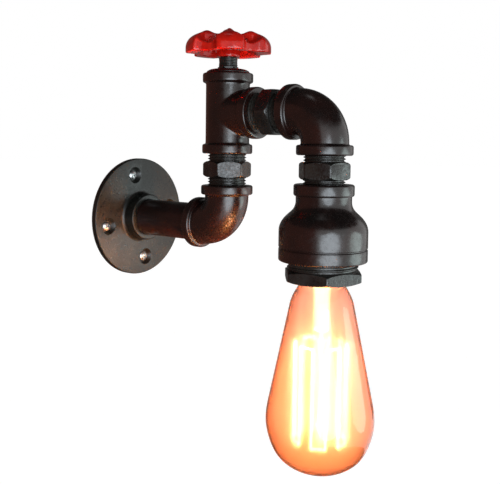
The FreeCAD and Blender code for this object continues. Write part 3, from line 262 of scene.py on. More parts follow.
def blacked_iron(name, body, thin, worn_and_highlit, grain, rough, skin_depth, ior=1.6):
    """Black varnish on an iron skin: its colour, where it lies thin, and on corners, paler with
    wear and a painted highlight; sizes in mm.
    """
    made, tree = empty_material(name)
    where = node(tree, "TexCoord").outputs["Object"]
    cloud = node(tree, "TexNoise", {"Vector": where, "Scale": 1000 / 16, "Detail": 3})
    skin = node(tree, "TexNoise", {"Vector": where, "Scale": 1000 / grain, "Detail": 4,
                                   "Roughness": 0.6})
    patch = node(tree, "MapRange", {"Value": cloud.outputs["Fac"],
                                    "From Min": 0.35, "From Max": 0.7})
    # Paler on the convex corners: partly wear, partly a painted highlight.
    edge = node(tree, "MapRange", {"Value": node(tree, "NewGeometry").outputs["Pointiness"],
                                   "From Min": 0.54, "From Max": 0.66, "To Max": 0.8})
    paint = node(tree, "Mix", {0: patch.outputs[0], 6: linear(body), 7: linear(thin)},
                 data_type="RGBA")
    paint = node(tree, "Mix", {0: edge.outputs[0], 6: paint.outputs[2], 7: linear(worn_and_highlit)},
                 data_type="RGBA")
    gloss = node(tree, "MapRange", {"Value": skin.outputs["Fac"], "From Min": 0.3, "From Max": 0.7,
                                    "To Min": rough[0], "To Max": rough[1]})
    relief = node(tree, "Bump", {"Height": skin.outputs["Fac"], "Strength": 1,
                                 "Distance": skin_depth / 1000})
    shader = node(tree, "BsdfPrincipled",
                  {"Base Color": paint.outputs[2], "Roughness": gloss.outputs[0],
                   "Normal": relief.outputs[0], "IOR": ior})
    node(tree, "OutputMaterial", {"Surface": shader.outputs[0]})
    return made


# Blackened iron, oiled: a near-black grey satin, a little paler where the oil lies thin.
flange_iron = blacked_iron("oiled_iron", "#0e0f0d", "#1d1d19", "#1a1a17", 1.9, (0.24, 0.46), 0.1,
                           1.46)
plate = closed(turned(bmesh.new(), [
    (PIPE_RADIUS, 0, 0), (FLANGE_RADIUS, 0, 0.3), (FLANGE_RADIUS, FLANGE_PLATE, 0.7),
    (HUB_FOOT, FLANGE_PLATE, 0.8), (HUB_RADIUS, FLANGE_PLATE + HUB_FILLET, 0.6),
    (HUB_RADIUS, HUB_END, 0.9), (PIPE_RADIUS, HUB_END, 0.4)], steps=128))
for angle in HOLE_ANGLES:
    turn = Matrix.Rotation(math.radians(angle), 4, "Z") @ Matrix.Translation((HOLE_CIRCLE, 0, 0))
    drill = closed(turned(bmesh.new(), [
        (0, -1, 0), (HOLE_RADIUS, -1, 0),
        (HOLE_RADIUS, FLANGE_PLATE - SINK_RADIUS + HOLE_RADIUS, 0.3),
        (SINK_RADIUS, FLANGE_PLATE, 0.2), (SINK_RADIUS + SINK_EASE, FLANGE_PLATE + 0.3, 0),
        (SINK_RADIUS + SINK_EASE, FLANGE_PLATE + 1, 0), (0, FLANGE_PLATE + 1, 0)], turn, 40))
    plate = worked(plate, "BOOLEAN", drill, operation="DIFFERENCE", solver="EXACT")
piece("flange_casting", plate, at(0, 0, "out"), flange_iron, "base", "flange_iron", "wall_flange")


def bright_metal(name, light, dark, grain, rough, scratch=0.004):
    """Bare or plated metal: its colour where clean and dulled, over fine tool marks, in mm."""
    made, tree = empty_material(name)
    where = node(tree, "TexCoord").outputs["Object"]
    stain = node(tree, "TexNoise", {"Vector": where, "Scale": 1000 / grain, "Detail": 5,
                                    "Roughness": 0.6})
    dull = node(tree, "MapRange", {"Value": stain.outputs["Fac"],
                                   "From Min": 0.38, "From Max": 0.65})
    tint = node(tree, "Mix", {0: dull.outputs[0], 6: linear(light), 7: linear(dark)},
                data_type="RGBA")
    gloss = node(tree, "MapRange", {"Value": stain.outputs["Fac"],
                                    "To Min": rough[0], "To Max": rough[1]})
    marks = node(tree, "TexNoise", {"Vector": where, "Scale": 1000 / 0.4, "Detail": 2})
    relief = node(tree, "Bump", {"Height": marks.outputs["Fac"], "Strength": 1,
                                 "Distance": scratch / 1000})
    shader = node(tree, "BsdfPrincipled",
                  {"Base Color": tint.outputs[2], "Roughness": gloss.outputs[0],
                   "Normal": relief.outputs[0], "Metallic": 1})
    node(tree, "OutputMaterial", {"Surface": shader.outputs[0]})
    return made


# The wall screws.
# Four short domed screws of zinc-plated steel with a cross recess, driven through the flange
# into the tapped holes of a wall box.
SCREW_HEAD, SCREW_CORE, SCREW_CREST, SCREW_PITCH = 3.5, 1.4, 1.75, 0.8
SCREW_TOP, SCREW_DOME, SCREW_NECK, SCREW_END = 3.35, 1.5, -1.0, -7.0
RECESS_LENGTH, RECESS_WIDTH, RECESS_DEPTH, RECESS_TURN = 3.6, 0.75, 1.7, 20
# Zinc plate: a pale grey, a little cloudy.
zinc = bright_metal("zinc_plate", "#c9cbca", "#8f9192", 2.5, (0.25, 0.45))


def joined(bm, other):
    """Adds another mesh to this one."""
    held = bpy.data.meshes.new("held")
    other.to_mesh(held)
    other.free()
    bm.from_mesh(held)
    bpy.data.meshes.remove(held)


def wound(bm, root, crest, pitch, start, end, steps=36):
    """Adds a thread's ridge, wound about Z from one height to another, closed at both ends."""
    before = set(bm.verts)
    section = [bm.verts.new((r, 0, start + z * pitch)) for r, z in
               ((root - 0.25, -0.46), (crest, -0.07), (crest, 0.07), (root - 0.25, 0.46))]
    edges = [bm.edges.new(pair) for pair in zip(section, section[1:] + section[:1])]
    count = round((end - start) / pitch * steps)
    bmesh.ops.spin(bm, geom=section + edges, cent=(0, 0, 0), axis=(0, 0, 1),
                   dvec=(0, 0, pitch / steps), angle=math.tau * count / steps, steps=count)
    rim = edges_of(v for v in bm.verts if v not in before)
    bmesh.ops.holes_fill(bm, edges=[e for e in rim if e.is_boundary])


screws = bmesh.new()
for angle in HOLE_ANGLES:
    screw = turned(bmesh.new(), [
        (0, SCREW_TOP, 0), (2.1, SCREW_TOP - 0.35, 0.8), (SCREW_HEAD, SCREW_TOP - SCREW_DOME, 0.15),
        (SCREW_CREST, 0.1, 0.2), (SCREW_CREST, SCREW_NECK + 0.4, 0), (SCREW_CORE, SCREW_NECK, 0),
        (SCREW_CORE, SCREW_END + 0.8, 0), (SCREW_CORE - 0.5, SCREW_END, 0), (0, SCREW_END, 0)],
        steps=32)
    closed(screw)
    for quarter in (0, 90):
        recess = bmesh.new()
        turn = Matrix.Rotation(math.radians(quarter + RECESS_TURN), 4, "Z")
        slot = Matrix.Diagonal((RECESS_LENGTH, RECESS_WIDTH, RECESS_DEPTH, 1))
        bmesh.ops.create_cube(recess, size=1,
                              matrix=turn @ Matrix.Translation((0, 0, SCREW_TOP - 0.2)) @ slot)
        screw = worked(screw, "BOOLEAN", recess, operation="DIFFERENCE", solver="EXACT")
    wound(screw, SCREW_CORE, SCREW_CREST, SCREW_PITCH, SCREW_END + 1.2, SCREW_NECK, 20)
    closed(screw)
    bmesh.ops.translate(screw, verts=screw.verts,
                        vec=(HOLE_CIRCLE * math.cos(math.radians(angle)),
                             HOLE_CIRCLE * math.sin(math.radians(angle)), 0))
    joined(screws, screw)
piece("wall_box_screws", screws, at(0, 0, "out"), zinc, "base", "zinc_steel", "wall_screws")

# The pipe nipples.
# Short lengths of steel pipe with taper threads. The one in the wall flange is plain between its
# ends, and the other three have a forged hexagon in the middle, which a spanner turns.
PIPE_LOW, PIPE_HIGH = 2.2, 66.0
PITCH, THREAD_ROOT, THREAD_END = 1.814, 11.35, 1.2
HEX_FLATS, HEX_HEIGHT, HEX_CUT = 27.3, 10.2, 1.3
# Varnished steel pipe: near black with a red-brown cast, smoother than the castings.
pipe_black = blacked_iron("varnished_pipe", "#190d0b", "#2c1411", "#2c1c17", 1.4, (0.26, 0.38),
                          0.015, 1.5)
# Forged hexagon: the same varnish on a scaled, mottled skin that catches the light grey.
hex_black = blacked_iron("scaled_forging", "#0e0d0c", "#2b2926", "#33302b", 1.8, (0.16, 0.5), 0.2,
                         1.58)
pipe = turned(bmesh.new(), [
    (PIPE_BORE, PIPE_LOW, 0.3), (PIPE_RADIUS, PIPE_LOW, 0.8), (PIPE_RADIUS, PIPE_HIGH, 0.8),
    (PIPE_BORE, PIPE_HIGH, 0.3)], steps=72)
piece("flange_pipe", closed(pipe), at(0, 0, "out"), pipe_black, "base", "black_iron", "wall_nipple")


def hexagon(flats, bottom, top, corner_cut, bore, turn, rounding=0.5):
    """A spanner hexagon with its corners turned back at both ends, on a bored core."""
    prism = bmesh.new()
    bmesh.ops.create_cone(prism, cap_ends=True, segments=6, radius1=flats / math.sqrt(3),
                          radius2=flats / math.sqrt(3), depth=top - bottom,
                          matrix=Matrix.Translation((0, 0, (top + bottom) / 2))
                          @ Matrix.Rotation(math.radians(turn - 90), 4, "Z"))
    standing = [e for e in prism.edges if abs(e.verts[0].co.z - e.verts[1].co.z) > 1]
    bmesh.ops.bevel(prism, geom=standing, offset=rounding, segments=3, profile=0.5, affect="EDGES",
                    material=-1)
    widest = flats / math.sqrt(3) - 0.2
    barrel = turned(bmesh.new(), [
        (bore, bottom, 0), (flats / 2 - 0.3, bottom, 0.3), (widest, bottom + corner_cut, 0.8),
        (widest, top - corner_cut, 0.8), (flats / 2 - 0.3, top, 0.3), (bore, top, 0)])
    return worked(closed(prism), "BOOLEAN", closed(barrel), operation="INTERSECT", solver="EXACT")


def hex_nipple(name, place, body, node_name, low, high, hex_low, turn):
    """One nipple about its own axis: its threads from low to high, its hexagon from hex_low."""
    made = turned(bmesh.new(), [(PIPE_BORE, low, 0.2), (THREAD_ROOT, low, 0.4),
                                (THREAD_ROOT, high, 0.4), (PIPE_BORE, high, 0.2)], steps=72)
    wound(made, THREAD_ROOT, PIPE_RADIUS, PITCH, low + THREAD_END, hex_low + 0.8)
    wound(made, THREAD_ROOT, PIPE_RADIUS, PITCH, hex_low + HEX_HEIGHT - 0.8, high - THREAD_END)
    closed(made)
    joined(made, hexagon(HEX_FLATS, hex_low, hex_low + HEX_HEIGHT, HEX_CUT, PIPE_BORE + 0.1, turn))
    piece(name, made, place, hex_black, body, "black_iron", node_name)


hex_nipple("riser_hex_nipple", at(RISER_Y, 0, "up"), "base", "riser_nipple", 18.7, 53.0, 30.8,
           15.5)
hex_nipple("branch_hex_nipple", at(-110.25, BRANCH_Z, "out"), "arm", "branch_nipple", -6.8, 29.2,
           6.3, 0)
hex_nipple("drop_hex_nipple", at(LAMP_Y, 45.9, "down"), "arm", "drop_nipple", -6.8, 27.5, 3.9, 14)

# The elbows.
# Two right-angle elbows cast in malleable iron, with a rolled band round each mouth, tapped
# inside. The lower one stands on the wall pipe, and the upper one turns the branch down.
REACH, BEND, BODY_RADIUS, CORE_RADIUS = 25.7, 18.5, 14.1, 9.5
BAND_RADIUS, BAND_WIDTH, SOCKET_RADIUS = 16.7, 6.1, 12.45
ELBOW_STEPS = 72
# Black varnish on a sand-cast skin: almost black with a maroon cast, satin, faintly pebbled.
cast_black = blacked_iron("varnished_casting", "#120b0a", "#24110e", "#2c201b", 2.4, (0.17, 0.33),
                          0.03)


def elbow(name, place, body, node_name):
    """One elbow, its mouths along +Z and +Y, joined by a quarter bend."""
    made = bmesh.new()
    for radius in (BODY_RADIUS, CORE_RADIUS):
        loop = bmesh.ops.create_circle(made, radius=radius, segments=ELBOW_STEPS,
                                       matrix=Matrix.Translation((0, 0, BEND)))["verts"]
        bmesh.ops.spin(made, geom=loop + edges_of(loop), cent=(0, BEND, BEND), axis=(1, 0, 0),
                       angle=math.pi / 2, steps=20)
    for facing in ("up", "back"):
        before = set(made.edges)
        rim = REACH - BAND_WIDTH
        turned(made, [(BODY_RADIUS, BEND, 0), (BODY_RADIUS, rim, 0.9), (BAND_RADIUS, rim, 1.3),
                      (BAND_RADIUS, REACH, 1.3), (SOCKET_RADIUS, REACH, 0.5),
                      (SOCKET_RADIUS, BEND + 0.2, 0), (CORE_RADIUS, BEND, 0)],
               FACING[facing], ELBOW_STEPS)
        seam = [f for e in made.edges if e not in before for f in e.link_faces
                if all(abs((FACING[facing].inverted() @ v.co).z - BEND) < 1e-3 for v in f.verts)]
        bmesh.ops.delete(made, geom=list(dict.fromkeys(seam)), context="FACES")
    bmesh.ops.remove_doubles(made, verts=made.verts, dist=1e-3)
    piece(name, closed(made), place, cast_black, body, "black_iron", node_name)


elbow("lower_elbow_casting", at(RISER_Y, 0, "up"), "base", "lower_elbow")
elbow("upper_elbow_casting", at(LAMP_Y, BRANCH_Z, "down") @ Matrix.Scale(-1, 4, (0, 1, 0)), "arm",
      "upper_elbow")

# The control tee.
# A tee cast in malleable iron. Its foot turns on the riser's thread, its side mouth holds the
# branch, and the dimmer sits inside under the plug.
TEE_LOW, TEE_HIGH, TEE_BAND = 45.9, 97.3, 16.2
TEE_SOCKET, SWING_RADIUS = 13, 12.48


def fused(bm, voxel, passes):
    """Overlapping solids run into one skin, as in a mould, and the corners between them eased."""
    made = worked(bm, "REMESH", mode="VOXEL", voxel_size=voxel)
    for _ in range(passes):
        bmesh.ops.smooth_vert(made, verts=made.verts, factor=0.5, use_axis_x=True, use_axis_y=True,
                              use_axis_z=True)
    return made


tee = bmesh.new()
run = TEE_HIGH - TEE_LOW
turned(tee, [(0, 0, 0), (TEE_BAND, 0, 0.8), (TEE_BAND, BAND_WIDTH, 0.8),
             (BODY_RADIUS, BAND_WIDTH, 0), (BODY_RADIUS, run - BAND_WIDTH, 0),
             (TEE_BAND, run - BAND_WIDTH, 0.8), (TEE_BAND, run, 0.8), (0, run, 0)])
turned(tee, [(0, 0, 0), (BODY_RADIUS, 0, 0), (BODY_RADIUS, REACH - BAND_WIDTH, 0),
             (TEE_BAND, REACH - BAND_WIDTH, 0.8), (TEE_BAND, REACH, 0.8), (0, REACH, 0)],
       Matrix.Translation((0, 0, REACH)) @ FACING["out"])
tee = fused(closed(tee), 0.5, 5)
bores = turned(bmesh.new(), [
    (0, -1, 0), (SWING_RADIUS, -1, 0), (SWING_RADIUS, TEE_SOCKET, 0),
    (CORE_RADIUS + 1, TEE_SOCKET + 1, 0), (CORE_RADIUS + 1, run - TEE_SOCKET - 1, 0),
    (SOCKET_RADIUS, run - TEE_SOCKET, 0), (SOCKET_RADIUS, run + 1, 0), (0, run + 1, 0)], steps=72)
tee = worked(tee, "BOOLEAN", closed(bores), operation="DIFFERENCE", solver="EXACT")
side = turned(bmesh.new(), [
    (0, 5, 0), (CORE_RADIUS, 5, 0), (CORE_RADIUS, REACH - TEE_SOCKET, 0),
    (SOCKET_RADIUS, REACH - TEE_SOCKET, 0), (SOCKET_RADIUS, REACH + 1, 0), (0, REACH + 1, 0)],
    Matrix.Translation((0, 0, REACH)) @ FACING["out"], 72)
tee = worked(tee, "BOOLEAN", closed(side), operation="DIFFERENCE", solver="EXACT")
piece("tee_casting", tee, at(RISER_Y, TEE_LOW, "up"), cast_black, "arm", "black_iron",
      "control_tee")

# The plug, the shaft nut and the gland.
# A domed plug closes the top of the tee, drilled for the dimmer's neck. A flat nut holds the
# dimmer from above, and a ribbed gland keeps dust from its shaft.
PLUG_BORE, PLUG_THREAD, PLUG_RADIUS, CROWN_RADIUS = 4.7, 12.3, 13.8, 11.6
PLUG_LOW, PLUG_TOP = 87.3, 99.9
NUT_FLATS, NUT_TOP = 12, 101.4
GLAND_BORE, GLAND_RADIUS, GLAND_TOP, RIB_COUNT, RIB_DEPTH = 3.3, 6.1, 107.2, 5, 0.22
# Oxide-blackened steel: a dark green-grey with a soft shine.
gland_black = blacked_iron("oxide_black_steel", "#171b18", "#252a25", "#4a453c", 0.8,
                           (0.26, 0.38), 0.01)
plug = turned(bmesh.new(), [
    (PLUG_BORE, PLUG_LOW, 0.2), (PLUG_THREAD, PLUG_LOW, 0.5), (PLUG_THREAD, TEE_HIGH - 0.1, 0),
    (PLUG_RADIUS, TEE_HIGH + 0.05, 0.3), (PLUG_RADIUS, TEE_HIGH + 1, 0.6),
    (CROWN_RADIUS, PLUG_TOP - 0.3, 1.2), (PLUG_BORE, PLUG_TOP, 0.3)], steps=72)
piece("plug_casting", closed(plug), at(RISER_Y, 0, "up"), cast_black, "arm", "black_iron",
      "bonnet_plug")
nut = hexagon(NUT_FLATS, PLUG_TOP, NUT_TOP, 0.4, 4.0, 15, 0.15)
piece("shaft_hex_nut", nut, at(RISER_Y, 0, "up"), gland_black, "arm", "blackened_steel",
      "shaft_nut")
ribs = []
for k in range(RIB_COUNT):
    foot = NUT_TOP + 0.6 + k
    waist = GLAND_RADIUS - RIB_DEPTH * math.sin(math.pi * (k + 0.5) / RIB_COUNT)
    ribs += [(waist - 0.25, foot, 0.05), (waist, foot + 0.3, 0.1), (waist, foot + 0.7, 0.1)]
gland = turned(bmesh.new(), [
    (GLAND_BORE, NUT_TOP, 0.2), (GLAND_RADIUS, NUT_TOP, 0.3), *ribs,
    (GLAND_RADIUS - 0.25, GLAND_TOP - 0.2, 0.1), (GLAND_RADIUS - 0.6, GLAND_TOP, 0.1),
    (GLAND_BORE, GLAND_TOP, 0.2)], steps=64)
piece("shaft_gland", closed(gland), at(RISER_Y, 0, "up"), gland_black, "arm", "blackened_steel",
      "gland_sleeve")

# The dimmer and its terminals.
# A rotary dimmer in a pressed steel can stands inside the tee on its nut, with a moulded terminal
# block below and a plated shaft through the gland.


def carried(finish, *names):
    """CAD nodes shown as they are: triangles welded, corners kept crisp, with a finish."""
    for name in names:
        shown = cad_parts[name]
        shown.data.materials.clear()
        shown.data.materials.append(finish)
        shown.data.shade_smooth()
        shown.modifiers.new("welded", "WELD").merge_threshold = 1e-6
        shown.modifiers.new("corners", "EDGE_SPLIT").split_angle = math.radians(CRISP)


def dull_material(name, light, dark, grain, rough, relief_depth, sheen=0.5):
    """A moulded, woven, poured or fired stuff in two shades of its colour, sizes in mm."""
    made, tree = empty_material(name)
    where = node(tree, "TexCoord").outputs["Object"]
    cloud = node(tree, "TexNoise", {"Vector": where, "Scale": 1000 / grain, "Detail": 4})
    tint = node(tree, "Mix", {0: cloud.outputs["Fac"], 6: linear(light), 7: linear(dark)},
                data_type="RGBA")
    gloss = node(tree, "MapRange", {"Value": cloud.outputs["Fac"],
                                    "To Min": rough[0], "To Max": rough[1]})
    relief = node(tree, "Bump", {"Height": cloud.outputs["Fac"], "Distance": relief_depth / 1000})
    shader = node(tree, "BsdfPrincipled",
                  {"Base Color": tint.outputs[2], "Roughness": gloss.outputs[0],
                   "Normal": relief.outputs[0], "Specular IOR Level": sheen})
    node(tree, "OutputMaterial", {"Surface": shader.outputs[0]})
    return made


# Moulded phenolic: dark brown, even and slightly glossy.
phenolic = dull_material("moulded_phenolic", "#33241c", "#261a14", 3, (0.3, 0.4), 0.004)
carried(zinc, "dimmer_body", "dimmer_shaft")
carried(phenolic, "dimmer_terminals")

# The hand wheel.
# A five-lobed tap wheel, die-cast and dipped in glossy red enamel. A ridge arches over each lobe,
# with a window between each pair of ridges, and a domed nut holds it on the shaft.
LOBES, LOBE_ANGLE, RIDGE_TURN = 5, 6, -40
RIDGE_RISE, RIDGE_RADIUS, RIDGE_WIDTH, RIDGE_LENGTH, RIDGE_FOOT = 2.4, 14.5, 2.8, 4.4, 114
SKIRT_DROP, SKIRT_TOP, SKIRT_RADIUS = 1.2, 112, 18
# Gloss enamel: saturated red, with painted shade in the hollows and the slight waves of a dipped
# coat.
red_enamel, tree = empty_material("red_enamel")
where = node(tree, "TexCoord").outputs["Object"]
cloud = node(tree, "TexNoise", {"Vector": where, "Scale": 1000 / 7, "Detail": 3})
coat = node(tree, "MapRange", {"Value": cloud.outputs["Fac"], "From Min": 0.35, "From Max": 0.65})
tint = node(tree, "Mix", {0: coat.outputs[0], 6: linear("#dc2013"), 7: linear("#b3130b")},
            data_type="RGBA")
# Painted shade: the red turns dark where the surface curves inward.
hollow_shade = node(tree, "MapRange", {"Value": node(tree, "NewGeometry").outputs["Pointiness"],
                                 "From Min": 0.5, "From Max": 0.42})
tint = node(tree, "Mix", {0: hollow_shade.outputs[0], 6: tint.outputs[2], 7: linear("#3c0806")},
            data_type="RGBA")
relief = node(tree, "Bump", {"Height": cloud.outputs["Fac"], "Distance": 0.00025})
shader = node(tree, "BsdfPrincipled",
              {"Base Color": tint.outputs[2], "Roughness": 0.14, "Normal": relief.outputs[0],
               "Specular IOR Level": 0.4})
node(tree, "OutputMaterial", {"Surface": shader.outputs[0]})
# The CAD wheel, run into one skin and turned on its shaft until it stands as in the photo. The
# middle of each ridge is raised, and the skirt below hangs a little lower.
wheel = bmesh.new()
wheel.from_mesh(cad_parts["hand_wheel"].data)
bmesh.ops.transform(wheel, matrix=MM.inverted(), verts=wheel.verts)
bmesh.ops.remove_doubles(wheel, verts=wheel.verts, dist=1e-3)
wheel = fused(wheel, 0.42, 6)
bmesh.ops.rotate(wheel, cent=(0, RISER_Y, 0), verts=wheel.verts,
                 matrix=Matrix.Rotation(math.radians(RIDGE_TURN), 3, "Z"))
sector = 360 / LOBES
for vert in wheel.verts:
    out = Vector((vert.co.x, vert.co.y - RISER_Y))
    turn = (math.degrees(math.atan2(out.y, out.x)) - LOBE_ANGLE + sector / 2) % sector - sector / 2
    aside = out.length * math.sin(math.radians(turn)) / RIDGE_WIDTH
    along = (out.length - RIDGE_RADIUS) / RIDGE_LENGTH
    height = min(max((vert.co.z - RIDGE_FOOT) / 6, 0), 1)
    vert.co.z += RIDGE_RISE * height * math.exp(-aside ** 2 - along ** 2)
    below = min(max((SKIRT_TOP - vert.co.z) / 3, 0), 1)
    vert.co.z -= SKIRT_DROP * below * min(max((out.length - SKIRT_RADIUS) / 3, 0), 1)
piece("tap_wheel", wheel, MM, red_enamel, "control", "red_paint", "hand_wheel")
DOME_RADIUS, DOME_LOW, DOME_TOP, DOME_BORE, DOME_DEPTH = 4.2, 121.4, 125.2, 3.1, 124.0
cap_nut = turned(bmesh.new(), [
    (DOME_BORE, DOME_LOW, 0.1), (DOME_RADIUS, DOME_LOW, 0.3), (DOME_RADIUS, DOME_TOP - 1.6, 0.8),
    (1.9, DOME_TOP, 1.0), (0, DOME_TOP, 0), (0, DOME_DEPTH, 0), (DOME_BORE, DOME_DEPTH, 0.2)],
    steps=48)
piece("wheel_cap_nut", closed(cap_nut), at(RISER_Y, 0, "up"), red_enamel, "control",
      "blackened_steel", "wheel_nut")

# The bell reducer.
# A bell-shaped reducer cast in malleable iron. Its banded top screws on the drop, and its wide
# mouth takes the bushing that the lampholder hangs in.
BELL_TOP, BELL_HEIGHT, BELL_BAND, BELL_NECK, BELL_RADIUS = 29.2, 45.0, 17.8, 16.4, 26.1
GROOVE_RADIUS, MOUTH_RADIUS, ROOM_RADIUS, LEDGE_BORE = 25.5, 20.95, 21.4, 10.4
LEDGE_TOP, LEDGE_FOOT, MOUTH_DEPTH = 13.0, 16.6, 33.0
bell = turned(bmesh.new(), [
    (SOCKET_RADIUS, 0, 0.5), (BELL_BAND, 0, 1.3), (BELL_BAND, 7.0, 1.3), (BELL_NECK, 7.0, 0.8),
    (BELL_NECK, 13.6, 3.0), (23.4, 20.0, 2.2), (BELL_RADIUS, 24.6, 2.6),
    (BELL_RADIUS, 36.8, 0.25), (GROOVE_RADIUS, 37.0, 0.15), (GROOVE_RADIUS, 37.6, 0.15),
    (BELL_RADIUS, 37.8, 0.3), (BELL_RADIUS, BELL_HEIGHT, 1.1), (MOUTH_RADIUS, BELL_HEIGHT, 0.5),
    (MOUTH_RADIUS, MOUTH_DEPTH, 0), (ROOM_RADIUS, MOUTH_DEPTH, 0), (ROOM_RADIUS, 26.0, 3),
    (14.0, LEDGE_FOOT, 0.5), (LEDGE_BORE, LEDGE_FOOT, 0.3), (LEDGE_BORE, LEDGE_TOP, 0.2),
    (SOCKET_RADIUS, LEDGE_TOP, 0)])
piece("bell_reducer_casting", closed(bell), at(LAMP_Y, BELL_TOP, "down"), cast_black, "arm",
      "black_iron", "bell_reducer")

# The hexagon bushing.
# A large bushing screwed up into the reducer's mouth, with a spanner hexagon below. The
# lampholder shows in its bore.
BUSH_PITCH, BUSH_ROOT, BUSH_CREST, BUSH_BORE = 2.31, 19.95, 20.9, 18.9
BUSH_FLATS, BUSH_TOP, BUSH_HEX, BUSH_FOOT = 42.3, 4.5, 20.8, 27.9
bush = turned(bmesh.new(), [(BUSH_BORE, BUSH_TOP, 0.3), (BUSH_ROOT, BUSH_TOP, 0.5),
                            (BUSH_ROOT, BUSH_FOOT - 0.4, 0), (BUSH_BORE, BUSH_FOOT - 0.4, 0.3)])
wound(bush, BUSH_ROOT, BUSH_CREST, BUSH_PITCH, BUSH_TOP + 2, BUSH_HEX + 0.6, 72)
closed(bush)
joined(bush, hexagon(BUSH_FLATS, BUSH_HEX, BUSH_FOOT, HEX_CUT, BUSH_BORE, 21, 0.6))
piece("bell_bushing", bush, at(LAMP_Y, 0, "down"), hex_black, "arm", "black_iron", "hex_bushing")

# The lampholder.
# A porcelain medium-screw lampholder hangs on a threaded brass nipple, from a nut and a washer on
# the reducer's ledge. It has a rolled brass screw shell, a centre contact and two terminal screws.

# Brass: warm yellow, duller and browner where it has been handled.
brass = bright_metal("rolled_brass", "#c79a4b", "#8c6630", 3, (0.28, 0.45))
# Glazed porcelain: warm white under a clear glaze.
porcelain = dull_material("glazed_porcelain", "#ded9cd", "#cfc8ba", 6, (0.12, 0.22), 0.01)
carried(brass, "holder_locknut", "holder_nipple", "lampholder_shell", "centre_contact",
        "terminal_screws")
carried(porcelain, "lampholder_body")
carried(zinc, "seat_washer")

# The fixture wires.
# Two stranded wires in one woven glass-fibre sleeve run from the wall, past the dimmer, to the
# lampholder inside the pipe.

# Braided glass-fibre sleeve: off-white and matt, uneven at the scale of its plait.
sleeve = dull_material("braided_sleeve", "#b9b2a2", "#8d8675", 0.9, (0.7, 0.85), 0.08, 0.3)
carried(sleeve, "feed_lead", "control_lead", "lamp_lead")

# The bulb's cap.
# A screw cap of nickel-plated brass, rolled with a round thread, with a black glass insulator
# and a soldered contact at its tip.

# Nickel plate: pale, a little warm, with a low even shine.
nickel = bright_metal("nickel_plate", "#c4bfb4", "#8e8779", 4, (0.22, 0.38))
# Solder: dull grey with a dimpled skin.
solder = bright_metal("solder", "#a7a7a5", "#7b7b7a", 1.2, (0.35, 0.5), 0.02)
# Black glass: poured, dark and glossy.
black_glass = dull_material("black_glass", "#0c0c0d", "#141416", 3, (0.08, 0.15), 0.004)
carried(solder, "bulb_contact")
carried(black_glass, "cap_insulator")
BULB_TIP = -0.9
CAP_RADIUS, CAP_END, CAP_WALL, CAP_ROWS = 13.1, 27.0, 0.4, 64
CAP_FOOT, FOOT_RADIUS, CAP_SHOULDER, CAP_INSIDE = 2.4, 7.4, 4.6, 5.2
ROLL_PITCH, ROLL_DEPTH, ROLL_START, ROLL_END, ROLL_FADE = 3.63, 1.0, 5.4, 24.0, 1.8
rows = [CAP_INSIDE + (CAP_END - CAP_INSIDE) * k / CAP_ROWS for k in range(CAP_ROWS + 1)]
cap = closed(turned(bmesh.new(), [
    (0, CAP_FOOT, 0), (FOOT_RADIUS, CAP_FOOT, 0), (CAP_RADIUS, CAP_SHOULDER, 0),
    *[(CAP_RADIUS, row, 0) for row in rows],
    *[(CAP_RADIUS - CAP_WALL, row, 0) for row in reversed(rows)], (0, CAP_INSIDE, 0)]))
for vert in cap.verts:
    radius = math.hypot(vert.co.x, vert.co.y)
    if radius > CAP_RADIUS - CAP_WALL - 0.1:
        turn = vert.co.z / ROLL_PITCH - math.atan2(vert.co.y, vert.co.x) / math.tau
        fade = min(max(min(vert.co.z - ROLL_START, ROLL_END - vert.co.z) / ROLL_FADE, 0), 1)
        pressed = ROLL_DEPTH * fade * (0.5 - 0.5 * math.cos(math.tau * turn))
        vert.co.xy *= (radius - pressed) / radius
piece("rolled_cap", cap, at(LAMP_Y, BULB_TIP, "down"), nickel, "bulb", "cap_nickel", "bulb_cap")

# The bulb's glass.
# A blown pear-shaped envelope of amber-tinted glass, 64 mm across, closed round its stem inside
# the cap.


def tinted_glass(name, neck, belly, edge, rough):
    """Lacquered glass, tinted from neck to belly, deeper where it is seen edge on, and with a faint
    painted orange glow.
    """
    made, tree = empty_material(name)
    where = node(tree, "TexCoord").outputs["Object"]
    height = node(tree, "SeparateXYZ", {"Vector": where}).outputs["Z"]
    down = node(tree, "MapRange", {"Value": height, "From Min": -0.03, "From Max": -0.125})
    tint = node(tree, "Mix", {0: down.outputs[0], 6: linear(neck), 7: linear(belly)},
                data_type="RGBA")
    facing = node(tree, "LayerWeight", {"Blend": 0.35}).outputs["Facing"]
    edge_on = node(tree, "MapRange", {"Value": facing, "From Min": 0.2, "From Max": 0.62})
    tint = node(tree, "Mix", {0: edge_on.outputs[0], 6: tint.outputs[2], 7: linear(edge)},
                data_type="RGBA")
    seed = node(tree, "TexNoise", {"Vector": where, "Scale": 1000 / 25, "Detail": 1})
    relief = node(tree, "Bump", {"Height": seed.outputs["Fac"], "Distance": 0.0002,
                                 "Strength": 0.4})
    # A faint orange emission paints a glow into the glass, as of the filament's light.
    shader = node(tree, "BsdfPrincipled",
                  {"Base Color": tint.outputs[2], "Roughness": rough, "IOR": 1.5,
                   "Transmission Weight": 1, "Normal": relief.outputs[0],
                   "Emission Color": linear("#ff6a20"), "Emission Strength": 0.01})
    node(tree, "OutputMaterial", {"Surface": shader.outputs[0]})
    return made


# Amber soda-lime glass: clear and glossy outside, pinkish at the neck and orange at the belly.
amber = tinted_glass("amber_glass", "#efc6bb", "#fbbd92", "#8e4e34", 0.02)
